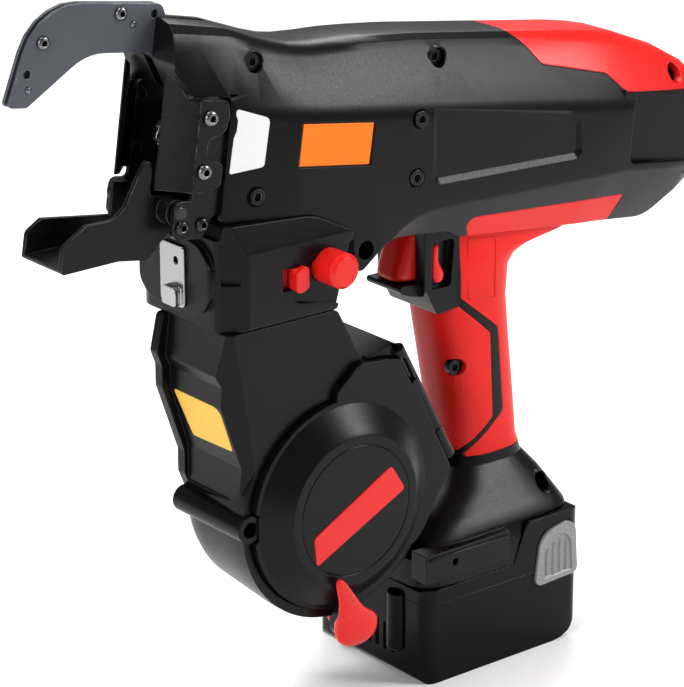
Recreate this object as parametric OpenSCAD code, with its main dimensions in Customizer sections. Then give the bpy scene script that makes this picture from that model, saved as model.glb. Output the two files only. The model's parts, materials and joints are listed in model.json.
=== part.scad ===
// Rebar tying tool: a hand held power tool that feeds wire round crossed bars and twists it tight.
// x points to the rear, y to the tool's right and z up, in millimetres.
// The origin is the middle of the flat base of the battery, on which the tool stands.

/* [Head] */
// Nose-up tilt of the head, in degrees
head_tilt = 8.3; // [7.5:0.1:9]
// Height of the head's reference point over the base
head_z = 200; // [199:0.5:203]
// Reach of the housing's front edge ahead of the reference point
head_front = 134; // [132:0.5:136]
// Overhang of the nose past the front edge
nose_len = 23; // [20:0.5:26]
// Reach of the rear end behind the reference point
head_rear = 116; // [115:0.5:122]
// Half width of the head
head_half_w = 29; // [29:0.5:32]
// Height of the head's top over its reference line
head_top = 62; // [61.5:0.5:66]
// Depth of the head's underside below its reference line
head_bottom = 19; // [18.5:0.5:20]
// Wall of the moulded housings
wall = 3.2; // [2.8:0.1:3.4]
// Height of the twisting axis over the reference line
axis_w = 22; // [21.5:0.5:22.5]
// Depth of the recessed side panel
panel_depth = 1.8; // [1:0.1:2]

/* [Jaw] */
// Clear width between the two contact plates
plate_gap = 25; // [22:0.5:28]
// Thickness of the contact plates and side frames
plate_t = 2; // [1.5:0.1:2.5]
// Half width over the side frames
frame_half_w = 21.4; // [21:0.1:21.6]
// Reach of the arm's tip ahead of the reference point
arm_reach = 217.5; // [214:0.5:222]
// Thickness of one arm plate
arm_plate_t = 1.3; // [1:0.1:2]
// Thickness of the arm's dark core
arm_core_t = 2; // [1.6:0.1:3]
// Sheet thickness of the lower scoop
scoop_t = 2; // [1.5:0.1:2.5]
// Reach of the scoop's tip ahead of the reference point
scoop_reach = 195.8; // [192:0.2:200]
// Width over the lower scoop
scoop_w = 25.8; // [24:0.2:28]

/* [Handle] */
// Half width of the handle
handle_half_w = 16; // [15:0.5:17]
// Thickness of the red grip skins
grip_t = 2; // [1.5:0.1:2.2]
// Travel of the trigger
trigger_travel = 7; // [5:0.5:7]
// Half width of the trigger
trigger_half_w = 8.6; // [7.5:0.1:9]

/* [Battery] */
// Length of the battery along the tool
battery_len = 85; // [84:0.5:90]
// Width of the battery
battery_w = 71.4; // [71:0.1:76]
// Height of the battery up to the foot
battery_h = 41.4; // [41.2:0.1:42]
// Height of the raised rear block of the battery
battery_rear_h = 58; // [56:0.5:59]
// Wall of the battery case
battery_wall = 2; // [1.6:0.1:2]
// Diameter of one battery cell
cell_d = 18.2; // [18:0.1:18.4]
// Length of one battery cell
cell_len = 65; // [63:0.5:66]

/* [Magazine] */
// Distance of the reel's axis ahead of the origin
reel_x = 84; // [83:0.5:85]
// Height of the reel's axis over the base
reel_z = 91; // [90:0.5:92]
// Radius of the reel's flanges
reel_r = 36; // [33:0.5:37]
// Width over the reel's flanges
reel_w = 32; // [28:0.5:33]
// Distance of the magazine's left face from the middle plane
mag_left = 31; // [30.5:0.5:32]
// Distance of the magazine's right face from the middle plane
mag_right = 11; // [10.5:0.5:12]
// Wall of the magazine
mag_wall = 3; // [2.5:0.1:3.2]
// Radius of the cover's round rim
cover_r = 43; // [42.6:0.1:43.2]
// How far the cover's dome stands out
dome_h = 11; // [10:0.5:13]
// Radius of the dome's flat face
dome_r = 31; // [28:0.5:33]

/* [Gears] */
// Gear module
gear_m = 1; // [0.9:0.05:1]
// Face width of the planetary gears
gear_w = 14; // [10:0.5:14]
// Face width of the feed gears
feed_gear_w = 8; // [6:0.5:8]

/* [Fits] */
// Gap between pieces that move past each other
run_gap = 0.4; // [0.35:0.05:0.5]
// Gap round a fixed piece in its seat
seat_gap = 0.15; // [0.1:0.05:0.2]
// Radial clearance of a pin or shaft in its bore
pin_fit = 0.05; // [0.02:0.01:0.08]

/* [Hidden] */
$fn = 48;

black = [0.16, 0.16, 0.17];
dark = [0.09, 0.09, 0.10];
red = [0.85, 0.13, 0.10];
steel = [0.62, 0.63, 0.65];
blued = [0.36, 0.37, 0.40];
grey = [0.60, 0.60, 0.60];
brass = [0.78, 0.62, 0.30];
copper = [0.72, 0.45, 0.25];

// A large length, for cutters that have to pass right through
far = 400;

// Outlines are lists of corners [x, y, radius], counterclockwise.
function unit(v) = v / norm(v);
function xy(c) = [c[0], c[1]];
function before(c, i) = xy(c[(i + len(c) - 1) % len(c)]);
function after(c, i) = xy(c[(i + 1) % len(c)]);

// The outline moved inward by d, with its corner radii following
function inset(c, d) = [
    for (i = [0 : len(c) - 1])
        let (
            p = xy(c[i]),
            e = unit(p - before(c, i)),
            f = unit(after(c, i) - p),
            n = [-e[1], e[0]],
            m = [-f[1], f[0]],
            q = p + (n + m) * d / (1 + n * m),
            turn = cross(e, f) > 0 ? 1 : -1
        )
        [q[0], q[1], max(c[i][2] - d * turn, 0.4)]
];

// The outline's points with each corner drawn as an arc of n steps
function rounded(c, n = 5) = [
    for (i = [0 : len(c) - 1])
        let (
            p = xy(c[i]),
            a = before(c, i) - p,
            b = after(c, i) - p,
            half = acos(unit(a) * unit(b)) / 2,
            t = min(c[i][2] / tan(half), 0.48 * min(norm(a), norm(b))),
            r = t * tan(half),
            m = p + unit(unit(a) + unit(b)) * r / sin(half),
            s = p + unit(a) * t - m,
            e = p + unit(b) * t - m,
            a0 = atan2(s[1], s[0]),
            swing = atan2(e[1], e[0]) - a0,
            turn = swing > 180 ? swing - 360 : swing < -180 ? swing + 360 : swing
        )
        for (k = [0 : n])
            m + r * [cos(a0 + turn * k / n), sin(a0 + turn * k / n)]
];

// Extrudes an outline of the xz plane from y0 to y1
module side(y0, y1, c) {
    translate([0, y1, 0])
        rotate([90, 0, 0])
            linear_extrude(y1 - y0)
                polygon(rounded(c));
}

// Extrudes an outline of the yz plane from x0 to x1
module front(x0, x1, c) {
    translate([x0, 0, 0])
        rotate([90, 0, 90])
            linear_extrude(x1 - x0)
                polygon(rounded(c));
}

// Extrudes an outline of the xy plane from z0 to z1
module plan(z0, z1, c) {
    translate([0, 0, z0])
        linear_extrude(z1 - z0)
            polygon(rounded(c));
}

module box(lo, hi) {
    translate(lo) cube(hi - lo);
}

// Round bar along x, y or z
module bar_x(x0, x1, r) {
    translate([x0, 0, 0]) rotate([0, 90, 0]) cylinder(h = x1 - x0, r = r);
}
module bar_y(y0, y1, r) {
    translate([0, y1, 0]) rotate([90, 0, 0]) cylinder(h = y1 - y0, r = r);
}
module bar_z(z0, z1, r) {
    translate([0, 0, z0]) cylinder(h = z1 - z0, r = r);
}

// Skins a stack of rings that have equal point counts
module loft(rings) {
    n = len(rings[0]);
    m = len(rings);
    sides = [
        for (j = [0 : m - 2])
            for (k = [0 : n - 1])
                let (a = j * n + k, b = j * n + (k + 1) % n)
                each [[a, b + n, b], [a, a + n, b + n]]
    ];
    floor_face = [for (k = [0 : n - 1]) k];
    roof_face = [for (k = [n - 1 : -1 : 0]) (m - 1) * n + k];
    polyhedron(points = [for (r = rings) each r], faces = concat([floor_face], sides, [roof_face]));
}

module left_half() {
    intersection() {
        children();
        box([-far, -far, -far], [far, 0, far]);
    }
}

// The head's own frame: x along the twisting axis, tilted nose up
module head_frame() {
    translate([0, 0, head_z])
        rotate([0, head_tilt, 0])
            children();
}

module twist_axis() {
    head_frame()
        translate([0, 0, axis_w])
            children();
}

// Head form

nose_under = 40;
seam_front_w = -7.5;
seam_mid = [-95, -4.2];
seam_rear_w = -11;
seam_rear_u = -74;
skirt_w = -27.5;
chine_u = 68;
chine_rear_w = 6.6;
chine_run = 13;
chine_drop = 25;
shoulder_w = 34;
top_half_w = 14;

head_stations = [
    -160, -146, -132, -121, -111, -102, -93, -82, -70, -56, -50, -44, -38, -30, -15, 0,
    46, 58, 68, 80, 92, 101, 108, 113, 124
];

function top_at(u) = head_top + lookup(u, [
    [-160, 4.5], [-132, 2.5], [-111, -2], [-98, -4], [-84, -3], [-66, -1], [-40, 0],
    [46, 0.5], [58, 0], [68, -1], [92, -6.5], [108, -12.5], [113, -16], [124, -26]
]);
function half_w_at(u) = head_half_w + lookup(u, [
    [-160, -10], [-132, -4.5], [-102, -1], [-66, 0], [58, 0], [92, -2], [108, -4], [113, -6], [124, -14]
]);
function chine_at(u) = chine_rear_w + lookup(u, [
    [-70, -37], [-56, -24.5], [-50, -18.7], [-44, -15], [-38, -12.6], [-30, -11], [-15, -9.2], [chine_u, 0]
]);

function head_section(u) =
    let (w = half_w_at(u), c = chine_at(u))
    [
        [-top_half_w, top_at(u), 10], [-w + 1, shoulder_w, 16], [-w, c, 4],
        [-w + chine_run, c - chine_drop, 4],
        [w - chine_run, c - chine_drop, 4], [w, c, 4], [w - 1, shoulder_w, 16],
        [top_half_w, top_at(u), 10]
    ];
arc_steps = 3;

// Section points of the left half, closed at y = over
function head_half_ring(u, d, over) =
    let (c = inset(head_section(u), d), p = rounded(c, arc_steps))
    concat(
        [[u, over, c[0][1]]],
        [for (k = [0 : 4 * (arc_steps + 1) - 1]) [u, p[k][0], p[k][1]]],
        [[u, over, c[3][1]]]
    );

function stations(u0, u1) = [for (u = head_stations) if (u >= u0 && u <= u1) u];

head_side = [
    [-head_front - nose_len, head_top + 30, 1],
    [-head_front - nose_len, nose_under + 11, 3],
    [-head_front - nose_len + 7, nose_under, 2],
    [-head_front, nose_under, 1],
    [-head_front, seam_front_w, 2],
    [seam_mid[0], seam_mid[1], 20],
    [seam_rear_u, seam_rear_w, 2],
    [seam_rear_u + 3, skirt_w, 2],
    [seam_rear_u + 7, skirt_w, 3],
    [seam_rear_u + 18.5, -head_bottom + 3, 8],
    [-20, -head_bottom + 3, 6],
    [-12, -head_bottom, 6],
    [head_rear - 19, -head_bottom + 2, 14],
    [head_rear, 4, 12],
    [head_rear, head_top + 30, 1]
];

// Left half of the head between two stations, moved inward by d
module head_half(d, over, u0 = -far, u1 = far) {
    intersection() {
        loft([for (u = stations(u0, u1)) head_half_ring(u, d, over)]);
        side(-far, far, inset(head_side, d));
    }
}

// Both halves of the head between two stations
module head_whole(d, u0 = -far, u1 = far) {
    intersection() {
        loft([
            for (u = stations(u0, u1))
                [for (p = rounded(inset(head_section(u), d), arc_steps)) [u, p[0], p[1]]]
        ]);
        side(-far, far, inset(head_side, d));
    }
}

// Handle and foot form: rings [height, front, rear, half width, squareness]

foot_z = battery_h + run_gap;
foot_half_w = battery_w / 2;
battery_front = -battery_len / 2;

handle_rings = [
    [foot_z, battery_front - 1, battery_len / 2 + 1, foot_half_w, 7],
    [53, battery_front - 1, battery_len / 2 + 1, foot_half_w - 0.6, 6.5],
    [60, battery_front + 3, battery_len / 2 + 0.5, foot_half_w - 3, 5.5],
    [66, battery_front + 11, battery_len / 2 - 2, foot_half_w - 7.5, 4.4],
    [73, -17, 37, handle_half_w + 6, 3.6],
    [80, -9, 31.5, handle_half_w + 0.8, 3],
    [88, -6.5, 29.3, handle_half_w - 0.6, 2.8],
    [106, -8.5, 27.5, handle_half_w - 0.4, 2.7],
    [130, -13, 24.5, handle_half_w, 2.7],
    [150, -17, 22.6, handle_half_w, 2.7],
    [163, -19.5, 24, handle_half_w, 2.7],
    [167.5, -20, 28, handle_half_w, 2.7],
    [170.5, -20.5, 37, handle_half_w, 2.8],
    [173, -21, 56, handle_half_w, 3],
    [190, -21, 58, handle_half_w, 3]
];
ring_points = 32;

function handle_point(s, d, a) =
    let (e = 2 / s[4])
    [
        (s[1] + s[2]) / 2 + sign(cos(a)) * pow(abs(cos(a)), e) * ((s[2] - s[1]) / 2 - d),
        sign(sin(a)) * pow(abs(sin(a)), e) * (s[3] - d),
        s[0]
    ];

function handle_half_ring(s, d, over) =
    let (p = [for (k = [0.5 : 1 : ring_points / 2]) handle_point(s, d, 180 + k * 360 / ring_points)])
    concat([[s[1] + d, over, s[0]]], p, [[s[2] - d, over, s[0]]]);

function heights(z0, z1) = [for (s = handle_rings) if (s[0] >= z0 && s[0] <= z1) s];

// Left half of the handle and foot between two heights, moved inward by d
module handle_half(d, over, z0 = 0, z1 = far) {
    loft([for (s = heights(z0, z1)) handle_half_ring(s, d, over)]);
}

// Both halves of the handle between two heights
module handle_whole(d, z0 = 0, z1 = far) {
    loft([
        for (s = heights(z0, z1))
            [for (k = [0.5 : 1 : ring_points]) handle_point(s, d, k * 360 / ring_points)]
    ]);
}

// Battery outline and the room that it slides through

battery_rear = battery_len / 2 + 0.5;
rear_block_x = 5;
rear_step = 7;
rail_half_w = 21;
rail_h = 9;
rail_lip = 4;
rail_lip_h = 4;
rail_front = battery_front + 5;

// Housings

boss_r = 4.4;
screw_r = 1.6;
screw_head_r = 3.2;
screw_head_h = 3;
hole_r = screw_head_r + 0.6;
head_screws = [[-66.5, -19.5], [-122, 52], [-33, 53]];
frame_screw = [-120, 3];
case_screws = [[-46, 31], [-45, 8]];
grip_screw = [-8, 124];
foot_screw = [30, 68];

bearing_u = [-112, -104];
bearing_r = 16;
sleeve_r = 11;
motor_u = [14, 72];
motor_r = 19;
cradle_u = [56, 64];
case_u = [-52, 8];
case_plate_u = -40;
case_r = 23;

panel_outline = [
    [-42, 37.7, 3], [-36, 4, 4], [40.4, 12.1, 4], [42.8, 15.8, 3], [40.4, 29.3, 4], [34.5, 33.8, 4]
];
panel_slope = 3;

cover_outline = [
    [2, 90, 1], [2, 66, 1], [14, 57, 3], [21.5, 49.8, 4], [56, 46, 5], [66, 38.6, 4],
    [140, 38.6, 1], [140, 90, 1]
];

rear_recess_y = 23.5;
rear_recess = [[chine_u + 2, 9, 4], [far, 9, 1], [far, 36.5, 1], [chine_u + 2, 36.5, 4]];
rear_window = [[-15.5, 10.2, 3], [15.5, 10.2, 3], [15.5, 34, 3], [-15.5, 34, 3]];

trigger_block = [
    [-27, 192, 1], [-27, 163, 3], [-23, 155, 4], [-20, 149.6, 2], [-8, 149, 2], [-8, 192, 1]
];
trigger_block_half_w = 14.6;
guard = [[-24, 163.3, 1], [-36.5, 163.3, 1], [-36, 160.8, 2], [-31, 158.8, 3], [-22, 156.6, 1]];
guard_half_w = 10.5;
trigger_outline = [
    [-22, 164.4, 1], [-22, 185, 1], [-28, 185.6, 5], [-31.6, 178, 8], [-35.4, 166, 3], [-34.6, 163.9, 2]
];
trigger_rear = -22;
pocket_rear = trigger_rear + trigger_travel + 1;
lock_recess = [[-23.4, 160.6, 2], [-13.2, 160.6, 2], [-11.4, 180.6, 2.5], [-23.2, 180.6, 2.5]];
lock_floor = -11;
lock_pivot = [-20, 177];
lock_pin_r = 1.6;

rear_grip_zone = [
    [-15, 191.8, 4], [-9, 181, 3], [-8, 154, 1], [11.5, 138, 3], [15.4, 101, 3], [-5, 84, 1], [60, 84, 1],
    [60, 160, 1], [71, 171, 1], [74, 184.4, 1]
];
front_grip_zone = [
    [-40, 148, 1], [-40, 86.5, 1], [-4.5, 86.5, 1], [9.9, 99.5, 3], [7.2, 137, 3], [-8.8, 151, 1]
];
front_grip_rear = 10;

// Left half of the block round the trigger, with the guard under it
module trigger_body() {
    intersection() {
        side(-trigger_block_half_w, 0, trigger_block);
        plan(0, far, [[-27.2, -trigger_block_half_w - 0.2, 5], [0, -far, 1], [0, far, 1], [-27.2, far, 1]]);
    }
    intersection() {
        side(-guard_half_w, 0, guard);
        plan(0, far, [[-36.7, -guard_half_w - 0.2, 9], [0, -far, 1], [0, far, 1], [-36.7, far, 1]]);
    }
}

module trigger_pocket() {
    box(
        [-60, -trigger_half_w - run_gap, 163.9 - run_gap],
        [pocket_rear, trigger_half_w + run_gap, 185.6 + run_gap]
    );
}

module grip_zone(c) {
    side(-far, far, c);
}

// Side rails along the foot's lower edge, where a belt hook is screwed on
hook_rail = [[battery_front - 1, 46], [1, 58]];
hook_hole = [-28, 52];
hook_hole_r = 1.6;

module foot_rail() {
    box(
        [hook_rail[0][0], -foot_half_w - 1, hook_rail[0][1]],
        [hook_rail[1][0], -foot_half_w + 8, hook_rail[1][1]]
    );
}

// Plate that fills the head's inside from u0 to u1 between two heights
module bulkhead(u0, u1, w0, w1, d) {
    intersection() {
        front(u0, u1, inset(head_section((u0 + u1) / 2), d));
        box([-far, -far, w0], [far, far, w1]);
    }
}

// Inner ribs that carry the bearing and the motor
module ribs() {
    bulkhead(bearing_u[0], bearing_u[1], -3, far, wall - 0.6);
    bulkhead(cradle_u[0], cradle_u[1], -head_bottom + wall - 0.6, far, wall - 0.6);
}

module rib_bores() {
    translate([0, 0, axis_w]) {
        bar_x(bearing_u[0] - 1, bearing_u[1] + 1, bearing_r + seat_gap);
        bar_x(cradle_u[0] - 1, cradle_u[1] + 1, motor_r + seat_gap);
    }
    box(
        [-head_front, -frame_half_w - seat_gap, -30],
        [frame_rear + seat_gap, -frame_half_w + plate_t + seat_gap, nose_under + 1]
    );
}

module boss(p, reach) {
    translate([p[0], 0, p[1]]) bar_y(-reach, 0, boss_r);
}

// Inner wall behind the recessed rear side
module rear_liner() {
    box([chine_u - 4, -26.5, 3], [chine_u + 3, -20.5, 41]);
    box([chine_u - 4, -rear_recess_y, 3], [head_rear - 6, -20.5, 41]);
}

module screw_bore(y0, y1) {
    bar_y(-far, y0, hole_r);
    bar_y(y0 - 1, y1, screw_r + pin_fit);
}

foot_floor = foot_z + rail_h + 3;

module battery_room() {
    front_x = rail_front - run_gap;
    box([front_x, -rail_half_w - run_gap, -1],
        [far, rail_half_w + run_gap, battery_h + rail_h + run_gap]);
    side(-far, far, [
        [rear_block_x - 2 * run_gap, -10, 1], [far, -10, 1], [far, battery_rear_h + run_gap, 1],
        [rear_block_x + rear_step - 2 * run_gap, battery_rear_h + run_gap, 3],
        [rear_block_x - 2 * run_gap, battery_h, 1]
    ]);
    // Pocket of the terminal block
    box(
        [blade_x[0] - 2 - seat_gap, -rail_half_w + 2 - seat_gap, battery_h],
        [blade_x[1] + 4 + seat_gap, rail_half_w - 2 + seat_gap, foot_floor + 4 + seat_gap]
    );
}

// Lip of the foot that hooks under the battery's rail
module foot_lip() {
    box(
        [rail_front, -rail_half_w - 2, foot_z],
        [rear_block_x - 2, -rail_half_w + rail_lip - run_gap, foot_z + rail_lip_h - 2 * run_gap]
    );
}

// What both housings have in common, on the left of the middle plane
module half_shell() {
    difference() {
        union() {
            difference() {
                union() {
                    head_frame() head_half(0, 0);
                    handle_half(0, 0);
                    trigger_body();
                    foot_rail();
                }
                head_frame() head_half(wall, 1);
                difference() {
                    handle_half(wall + grip_t, 1);
                    box([-far, -far, -far], [far, far, foot_floor + 6]);
                }
                battery_room();
            }
            foot_lip();
            boss(grip_screw, 13);
            boss(foot_screw, 22);
            box([-8, -12.5, 168], [3, -switch_half_w - seat_gap, 180]);
            left_half()
                head_frame() {
                    ribs();
                    rear_liner();
                    boss(head_screws[0], head_half_w - 2);
                    boss(head_screws[1], head_half_w - 11);
                    boss(head_screws[2], head_half_w - 10);
                }
        }
        head_frame() {
            rib_bores();
            head_cuts();
        }
        trigger_pocket();
        grip_cuts();
        translate([hook_hole[0], 0, hook_hole[1]]) bar_y(-far, -foot_half_w + 7, hook_hole_r);
    }
}

// Screw holes that run from the left housing into the right one
module housing_bores() {
    head_frame()
        for (p = head_screws)
            translate([p[0], 0, p[1]]) screw_bore(-14, 14);
    translate([grip_screw[0], 0, grip_screw[1]]) screw_bore(-9, 9);
    translate([foot_screw[0], 0, foot_screw[1]]) screw_bore(-12, 12);
}

nose_slot = arm_core_t / 2 + arm_plate_t + seat_gap;

module head_cuts() {
    // Open front between the side frames
    box([-far, -frame_half_w - seat_gap, -40], [-head_front + wall + 1, 1, nose_under - 1]);
    // Slot for the arm through the nose
    box([-far, -nose_slot, nose_under - 2], [-head_front, 1, far]);
    // Opening into the feed housing
    box([-head_front - 1, -20, -40], [seam_rear_u - 8, 1, 0]);
    // Room of the red rear cover
    side(-far, far, inset(cover_outline, -seat_gap));
    // Recessed side panel and rear side
    hull() {
        side(-head_half_w + panel_depth - 0.1, -head_half_w + panel_depth, inset(panel_outline,
            panel_slope));
        side(-head_half_w - 0.2, -head_half_w, panel_outline);
    }
    side(-far, -rear_recess_y, rear_recess);
    // Window of the rear panel
    front(head_rear - 20, far, rear_window);
    for (p = case_screws)
        translate([p[0], 0, p[1]]) screw_bore(-head_half_w + screw_head_h, 0);
    translate([frame_screw[0], 0, frame_screw[1]]) screw_bore(-frame_half_w - 2, 0);
}

// Shallow field for a plate on the left side
badge_at = [-102.9, 13.6];
badge_size = [34.3, 17];

module badge_room() {
    head_frame()
        translate([badge_at[0], -head_half_w + 2.6, badge_at[1]])
            rotate([0, 0, -1.5])
                box([0, -far, 0], [badge_size[0], 0, badge_size[1]]);
}

module lock_room() {
    side(-far, lock_floor, lock_recess);
    translate([lock_pivot[0], 0, lock_pivot[1]]) bar_y(lock_floor - 1, lock_floor + 2,
        lock_pin_r + pin_fit);
}

module grip_cuts() {
    difference() {
        union() {
            grip_zone(rear_grip_zone);
            grip_zone(front_grip_zone);
        }
        head_frame() head_half(grip_t, 1);
        handle_half(grip_t, 1);
    }
}

module left_housing() {
    color(black)
        difference() {
            half_shell();
            housing_bores();
            badge_room();
            lock_room();
        }
}

module right_housing() {
    color(black)
        difference() {
            mirror([0, 1, 0]) half_shell();
            housing_bores();
        }
}

// Round hole in the rear cover's left corner
cover_hole = [98.8, -18.9, 44.7];
cover_hole_r = 4.2;

module rear_cover() {
    color(red)
        head_frame()
            difference() {
                intersection() {
                    difference() {
                        head_whole(0, -1);
                        head_whole(wall, -1);
                    }
                    side(-far, far, cover_outline);
                }
                translate(cover_hole) rotate([0, 0, 20]) bar_y(-9, 9, cover_hole_r);
            }
}

grip_z = [80, 190];
grip_u = [-40, 80];

module half_grip() {
    difference() {
        intersection() {
            union() {
                head_frame() head_half(0, 0, grip_u[0], grip_u[1]);
                handle_half(0, 0, grip_z[0], grip_z[1]);
            }
            grip_zone(inset(rear_grip_zone, seat_gap));
        }
        head_frame() head_half(grip_t - seat_gap, 1, grip_u[0], grip_u[1]);
        handle_half(grip_t - seat_gap, 1, grip_z[0], grip_z[1]);
    }
}

module left_grip() {
    color(red) half_grip();
}

module right_grip() {
    color(red) mirror([0, 1, 0]) half_grip();
}

module front_grip() {
    color(red)
        difference() {
            intersection() {
                handle_whole(0, grip_z[0], 163);
                grip_zone(inset(front_grip_zone, seat_gap));
            }
            handle_whole(grip_t - seat_gap, grip_z[0], 163);
            housing_bores();
        }
}

// Rear panel with its controls

panel_u = head_rear - wall - seat_gap;
panel_t = 2.6;
dial_at = [0, 26];
dial_r = 7;
dial_h = 6;
dial_pin_r = 2.5;
power_at = [0, 14.4];
power_r = 3.4;
power_travel = 1.5;
board_u = 96;
board_t = 1.6;
board_posts = [[-13.5, 13], [13.5, 13], [-13.5, 32], [13.5, 32]];
rear_panel_outline = [[-17.5, 8.4, 3], [17.5, 8.4, 3], [17.5, 36, 3], [-17.5, 36, 3]];

module rear_panel() {
    color(dark)
        head_frame()
            difference() {
                union() {
                    front(panel_u - panel_t, panel_u, rear_panel_outline);
                    for (p = board_posts)
                        translate([0, p[0], p[1]]) bar_x(board_u + board_t, panel_u - 1, 2.5);
                }
                translate([0, dial_at[0], dial_at[1]]) bar_x(0, far, dial_pin_r + pin_fit);
                translate([0, power_at[0], power_at[1]]) bar_x(0, far, power_r + pin_fit);
            }
}

module torque_dial() {
    color(dark)
        head_frame()
            translate([0, dial_at[0], dial_at[1]])
                difference() {
                    union() {
                        bar_x(panel_u + run_gap, panel_u + run_gap + dial_h, dial_r);
                        bar_x(panel_u - panel_t - 4, panel_u + run_gap + 1, dial_pin_r);
                    }
                    for (k = [0 : 11])
                        rotate([k * 30, 0, 0])
                            translate([0, dial_r + 0.6, 0])
                                bar_x(panel_u + run_gap + 1.5, far, 1.3);
                }
}

module power_button() {
    color(grey)
        head_frame()
            translate([0, power_at[0], power_at[1]]) {
                bar_x(panel_u - panel_t - 2, panel_u + power_travel + 0.6, power_r);
                bar_x(panel_u - panel_t - 4, panel_u - panel_t - run_gap, power_r + 1.5);
            }
}

module control_board() {
    color([0.10, 0.35, 0.18])
        head_frame()
            front(board_u, board_u + board_t, inset(rear_panel_outline, 0.5));
}

module socket_screw(len, head_r = screw_head_r, head_h = screw_head_h, r = screw_r) {
    difference() {
        union() {
            bar_y(0, head_h, head_r);
            bar_y(head_h - 0.5, head_h + len, r);
        }
        bar_y(-1, head_h * 0.6, head_r * 0.5);
    }
}

module housing_screws() {
    color(dark) {
        head_frame() {
            for (p = head_screws)
                translate([p[0], -14 - screw_head_h, p[1]]) socket_screw(26);
            for (p = case_screws)
                for (s = [0, 1])
                    mirror([0, s, 0])
                        translate([p[0], -head_half_w, p[1]]) socket_screw(10);
            for (s = [0, 1])
                mirror([0, s, 0])
                    translate([frame_screw[0], -frame_half_w - 2 - screw_head_h, frame_screw[1]])
                        socket_screw(2 + plate_t);
        }
        translate([grip_screw[0], -9 - screw_head_h, grip_screw[1]]) socket_screw(16);
        translate([foot_screw[0], -12 - screw_head_h, foot_screw[1]]) socket_screw(20);
    }
}

// Jaw

frame_rear = -88;
plate_front = -158.4;
funnel_run = 10;
funnel_rear = plate_front + funnel_run;
plate_side = [
    [funnel_rear, 5.2, 1], [-144.5, 4.7, 3], [-135.6, 7, 3], [-135.6, 15.5, 3], [-143.4, 18, 3],
    [-143.4, 24.5, 3], [-136.4, 27, 4], [-134.6, 33, 3], [-136, 39.2, 2], [funnel_rear, 39.6, 1]
];
// The slanted front of a contact plate, seen from above and from the side
funnel_plan = [
    [plate_front, -plate_gap / 2, 0.4], [funnel_rear, -frame_half_w - plate_t, 2.5],
    [funnel_rear + 4, -frame_half_w - plate_t, 0.4], [funnel_rear + 4, -frame_half_w, 0.4],
    [funnel_rear + plate_t / 2, -frame_half_w, 1], [plate_front + plate_t * 1.36, -plate_gap / 2, 0.4]
];
funnel_side = [
    [plate_front - 1, 4.2, 0.5], [funnel_rear + 5, 5.2, 0.5], [funnel_rear + 5, 38.4, 0.5],
    [funnel_rear - 3, 38.6, 3], [plate_front + 2.6, 46.5, 2], [plate_front - 1, 49, 0.5]
];
plate_screws = [[-143.6, 32.8], [-144, 12.8]];
plate_screw_r = 2;
frame_outline = [
    [-154, -13, 3], [-140, -13, 3], [-137, -4.5, 2], [frame_rear, -4.5, 4], [frame_rear, 36, 3],
    [funnel_rear + 2, 38.6, 2], [funnel_rear + 2, 1.5, 2], [-154, 1.5, 3]
];
bracket_screws = [[-150, -8.3], [-141, -7.5]];
pin_at = [-151, -3.2];
pin_r = 2.5;

module contact_plate() {
    difference() {
        union() {
            intersection() {
                plan(0, 60, funnel_plan);
                side(-far, 0, funnel_side);
            }
            side(-frame_half_w - plate_t, -frame_half_w, plate_side);
        }
        for (p = plate_screws)
            translate([p[0], 0, p[1]]) bar_y(-far, 0, plate_screw_r + pin_fit);
    }
}

module left_contact_plate() {
    color(dark) head_frame() contact_plate();
}

module right_contact_plate() {
    color(dark) head_frame() mirror([0, 1, 0]) contact_plate();
}

module contact_screws() {
    color(steel)
        head_frame()
            for (s = [0, 1])
                mirror([0, s, 0]) {
                    for (p = plate_screws)
                        translate([p[0], -frame_half_w - plate_t - 1.8, p[1]])
                            socket_screw(plate_t * 2, 3.4, 1.8, plate_screw_r);
                    for (p = bracket_screws)
                        translate([p[0], -frame_half_w - 1.8, p[1]])
                            socket_screw(plate_t, 3, 1.8, plate_screw_r);
                }
}

module side_frame() {
    difference() {
        side(-frame_half_w, -frame_half_w + plate_t, frame_outline);
        for (p = concat(plate_screws, bracket_screws))
            translate([p[0], 0, p[1]]) bar_y(-far, 0, plate_screw_r + pin_fit);
        translate([frame_screw[0], 0, frame_screw[1]]) bar_y(-far, 0, screw_r + pin_fit);
        translate([pin_at[0], 0, pin_at[1]]) bar_y(-far, 0, pin_r);
    }
}

module left_side_frame() {
    color(dark) head_frame() side_frame();
}

module right_side_frame() {
    color(dark) head_frame() mirror([0, 1, 0]) side_frame();
}

arm_outline = [
    [-arm_reach, 33.6, 1.5], [-arm_reach + 8, 33.6, 3], [-185.6, 53, 22], [-159, 53.2, 5],
    [-152, 48.8, 2], [-138, 48.8, 1], [-138, 60.7, 1], [-150.5, 62.2, 2], [-154.8, 71.2, 4],
    [-arm_reach + 9, 71.2, 36]
];
arm_screws_at = [[-172.7, 67.4], [-205.1, 57]];
arm_rivets_at = [[-166.7, 63.5], [-209.6, 40]];
arm_eyes_at = [[-157.6, 67.3], [-210.5, 45.7]];
arm_eye_r = 1.6;
arm_screw_r = 2;
arm_rivet_r = 1.2;

module arm_holes() {
    for (p = arm_screws_at)
        translate([p[0], 0, p[1]]) bar_y(-far, far, arm_screw_r + pin_fit);
    for (p = arm_rivets_at)
        translate([p[0], 0, p[1]]) bar_y(-far, far, arm_rivet_r + pin_fit);
}

module arm_plate() {
    difference() {
        side(-arm_core_t / 2 - arm_plate_t, -arm_core_t / 2, arm_outline);
        arm_holes();
        for (p = arm_eyes_at)
            translate([p[0], 0, p[1]]) bar_y(-far, far, arm_eye_r);
    }
}

module arm_left_plate() {
    color(blued) head_frame() arm_plate();
}

module arm_right_plate() {
    color(blued) head_frame() mirror([0, 1, 0]) arm_plate();
}

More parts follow.
